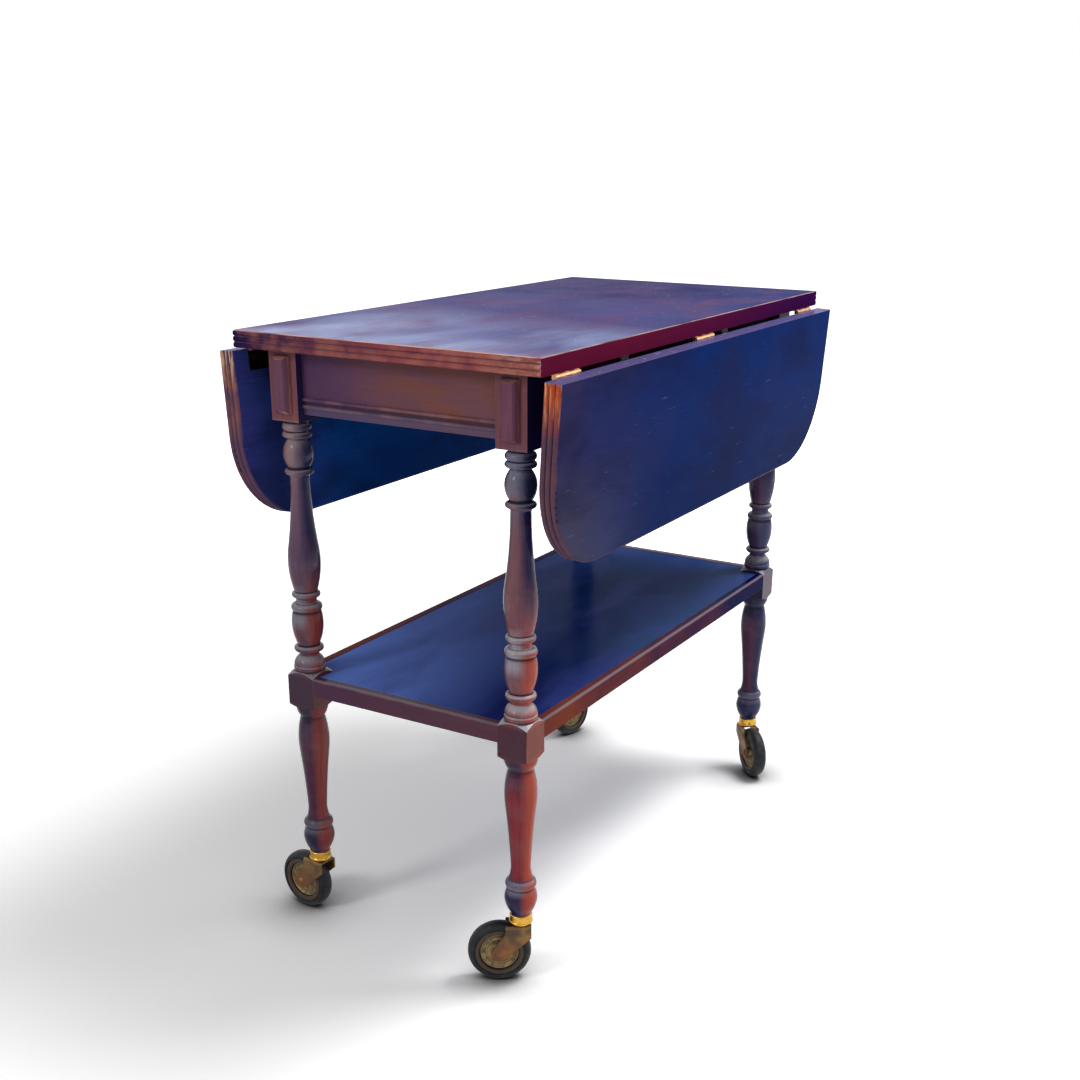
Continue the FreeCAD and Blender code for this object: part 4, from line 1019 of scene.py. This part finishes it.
@dataclass
class Studio:
    """A white sweep that keeps the trolley's shadow, even daylight, three soft lamps and the camera."""

    lamps: tuple[Softbox, ...] = (
        Softbox("key_softbox", place=(0.9, -1.1, 3.2), side=1.1, power=66.0),
        Softbox("low_softbox", place=(2.4, -2.0, 1.9), side=2.0, power=22.0),
        Softbox("fill_softbox", place=(-2.4, 0.9, 1.7), side=0.6, power=15.0),
    )
    floor_side: float = 60.0
    floor_shade: float = 0.8
    seen_near: float = 1.25
    seen_far: float = 3.2
    fade: Range = (0.9, 2.8)
    contact_reach: float = 0.09
    contact_range: Range = (0.4, 0.97)
    contact_shade: float = 0.05
    contact_samples: int = 8
    daylight: float = 0.42
    lens: float = 46.1
    camera_place: Point = (-1.53359, -0.87672, 0.92432)
    yaw: float = -59.468
    pitch: float = -19.792
    roll: float = 0.284
    shift: float = 0.0926

    def build(self) -> None:
        """Builds the floor, the world, the lamps and the camera."""
        self.lay_floor()
        self.light_world()
        for lamp in self.lamps:
            lamp.build()
        self.set_camera()
        bpy.context.scene.view_settings.view_transform = "Standard"

    def seen(self, recipe: Recipe, straight: Value, mirrored: float, lit: float) -> bpy.types.NodeSocket:
        """Chooses what the camera sees straight, what gloss and glass show it, and what lights the trolley.

        Args:
            recipe: the tree of the floor or the world.
            straight: the level that the camera sees.
            mirrored: the level that gloss and glass show.
            lit: the level that sends light to the trolley.

        Returns:
            The level for the ray at hand.
        """
        gloss = recipe.add("LightPath", output="Is Glossy Ray")
        glass = recipe.add("LightPath", output="Is Transmission Ray")
        either = recipe.add("Math", gloss, glass, operation="MAXIMUM")
        level = recipe.add("MapRange", either, 0.0, 1.0, lit, mirrored)
        camera = recipe.add("LightPath", output="Is Camera Ray")
        return recipe.add("MapRange", camera, 0.0, 1.0, level, straight)

    def lay_floor(self) -> None:
        """Lays the floor, white where nothing shades it, with painted shade close to whatever stands on it."""
        shape = bmesh.new()
        bmesh.ops.create_grid(shape, x_segments=1, y_segments=1, size=self.floor_side / 2)
        mesh = bpy.data.meshes.new("studio_floor")
        shape.to_mesh(mesh)
        shape.free()
        recipe = Recipe(bpy.data.materials.new("matt_white_sweep"))
        distance = recipe.add("VectorMath", recipe.add("TexCoord", output="Object"), operation="LENGTH",
                              output="Value")
        white = recipe.add("MapRange", distance, *self.fade, self.seen_near, self.seen_far)
        # painted contact shade: the white that the camera sees is darkened where ambient occlusion finds
        # something close by
        open_round = recipe.add("AmbientOcclusion", Distance=self.contact_reach,
                                samples=self.contact_samples, output="AO")
        contact = recipe.add("MapRange", open_round, *self.contact_range, self.contact_shade, 1.0)
        white = recipe.add("Math", white, contact, operation="MULTIPLY")
        level = self.seen(recipe, white, self.seen_near, self.floor_shade)
        colour = recipe.add("CombineXYZ", level, level, level)
        recipe.add("OutputMaterial", recipe.add("BsdfDiffuse", colour))
        mesh.materials.append(recipe.owner)
        floor = bpy.data.objects.new("studio_floor", mesh)
        bpy.context.scene.collection.objects.link(floor)

    def light_world(self) -> None:
        """Lights from all round with plain daylight, which is seen as white."""
        world = bpy.data.worlds.new("studio_world")
        bpy.context.scene.world = world
        recipe = Recipe(world)
        strength = self.seen(recipe, 1.0, 1.0, self.daylight)
        recipe.add("OutputWorld", recipe.add("Background", (1.0, 1.0, 1.0, 1.0), strength))

    def set_camera(self) -> None:
        """Sets the camera."""
        data = bpy.data.cameras.new("camera")
        data.lens = self.lens
        data.shift_y = self.shift
        camera = bpy.data.objects.new("camera", data)
        turn = Matrix.Rotation(math.radians(self.yaw), 4, "Z")
        tilt = Matrix.Rotation(math.radians(90.0 + self.pitch), 4, "X")
        lean = Matrix.Rotation(math.radians(self.roll), 4, "Z")
        camera.matrix_world = Matrix.Translation(self.camera_place) @ turn @ tilt @ lean
        bpy.context.scene.collection.objects.link(camera)
        bpy.context.scene.camera = camera


def main() -> None:
    logging.basicConfig(level=logging.INFO, format="%(name)s: %(message)s")
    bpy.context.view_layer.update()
    bench = Bench()
    TableTop().build(bench)
    for side in SIDES:
        DropLeaf(side).build(bench)
        FoldingStay(side).build(bench)
    Frame().build(bench)
    Shelf().build(bench)
    for corner in CORNERS:
        TurnedLeg(corner).build(bench)
        Castor(corner).build(bench)
    Ferrules().build(bench)
    Studio().build()


if __name__ == "__main__":
    main()
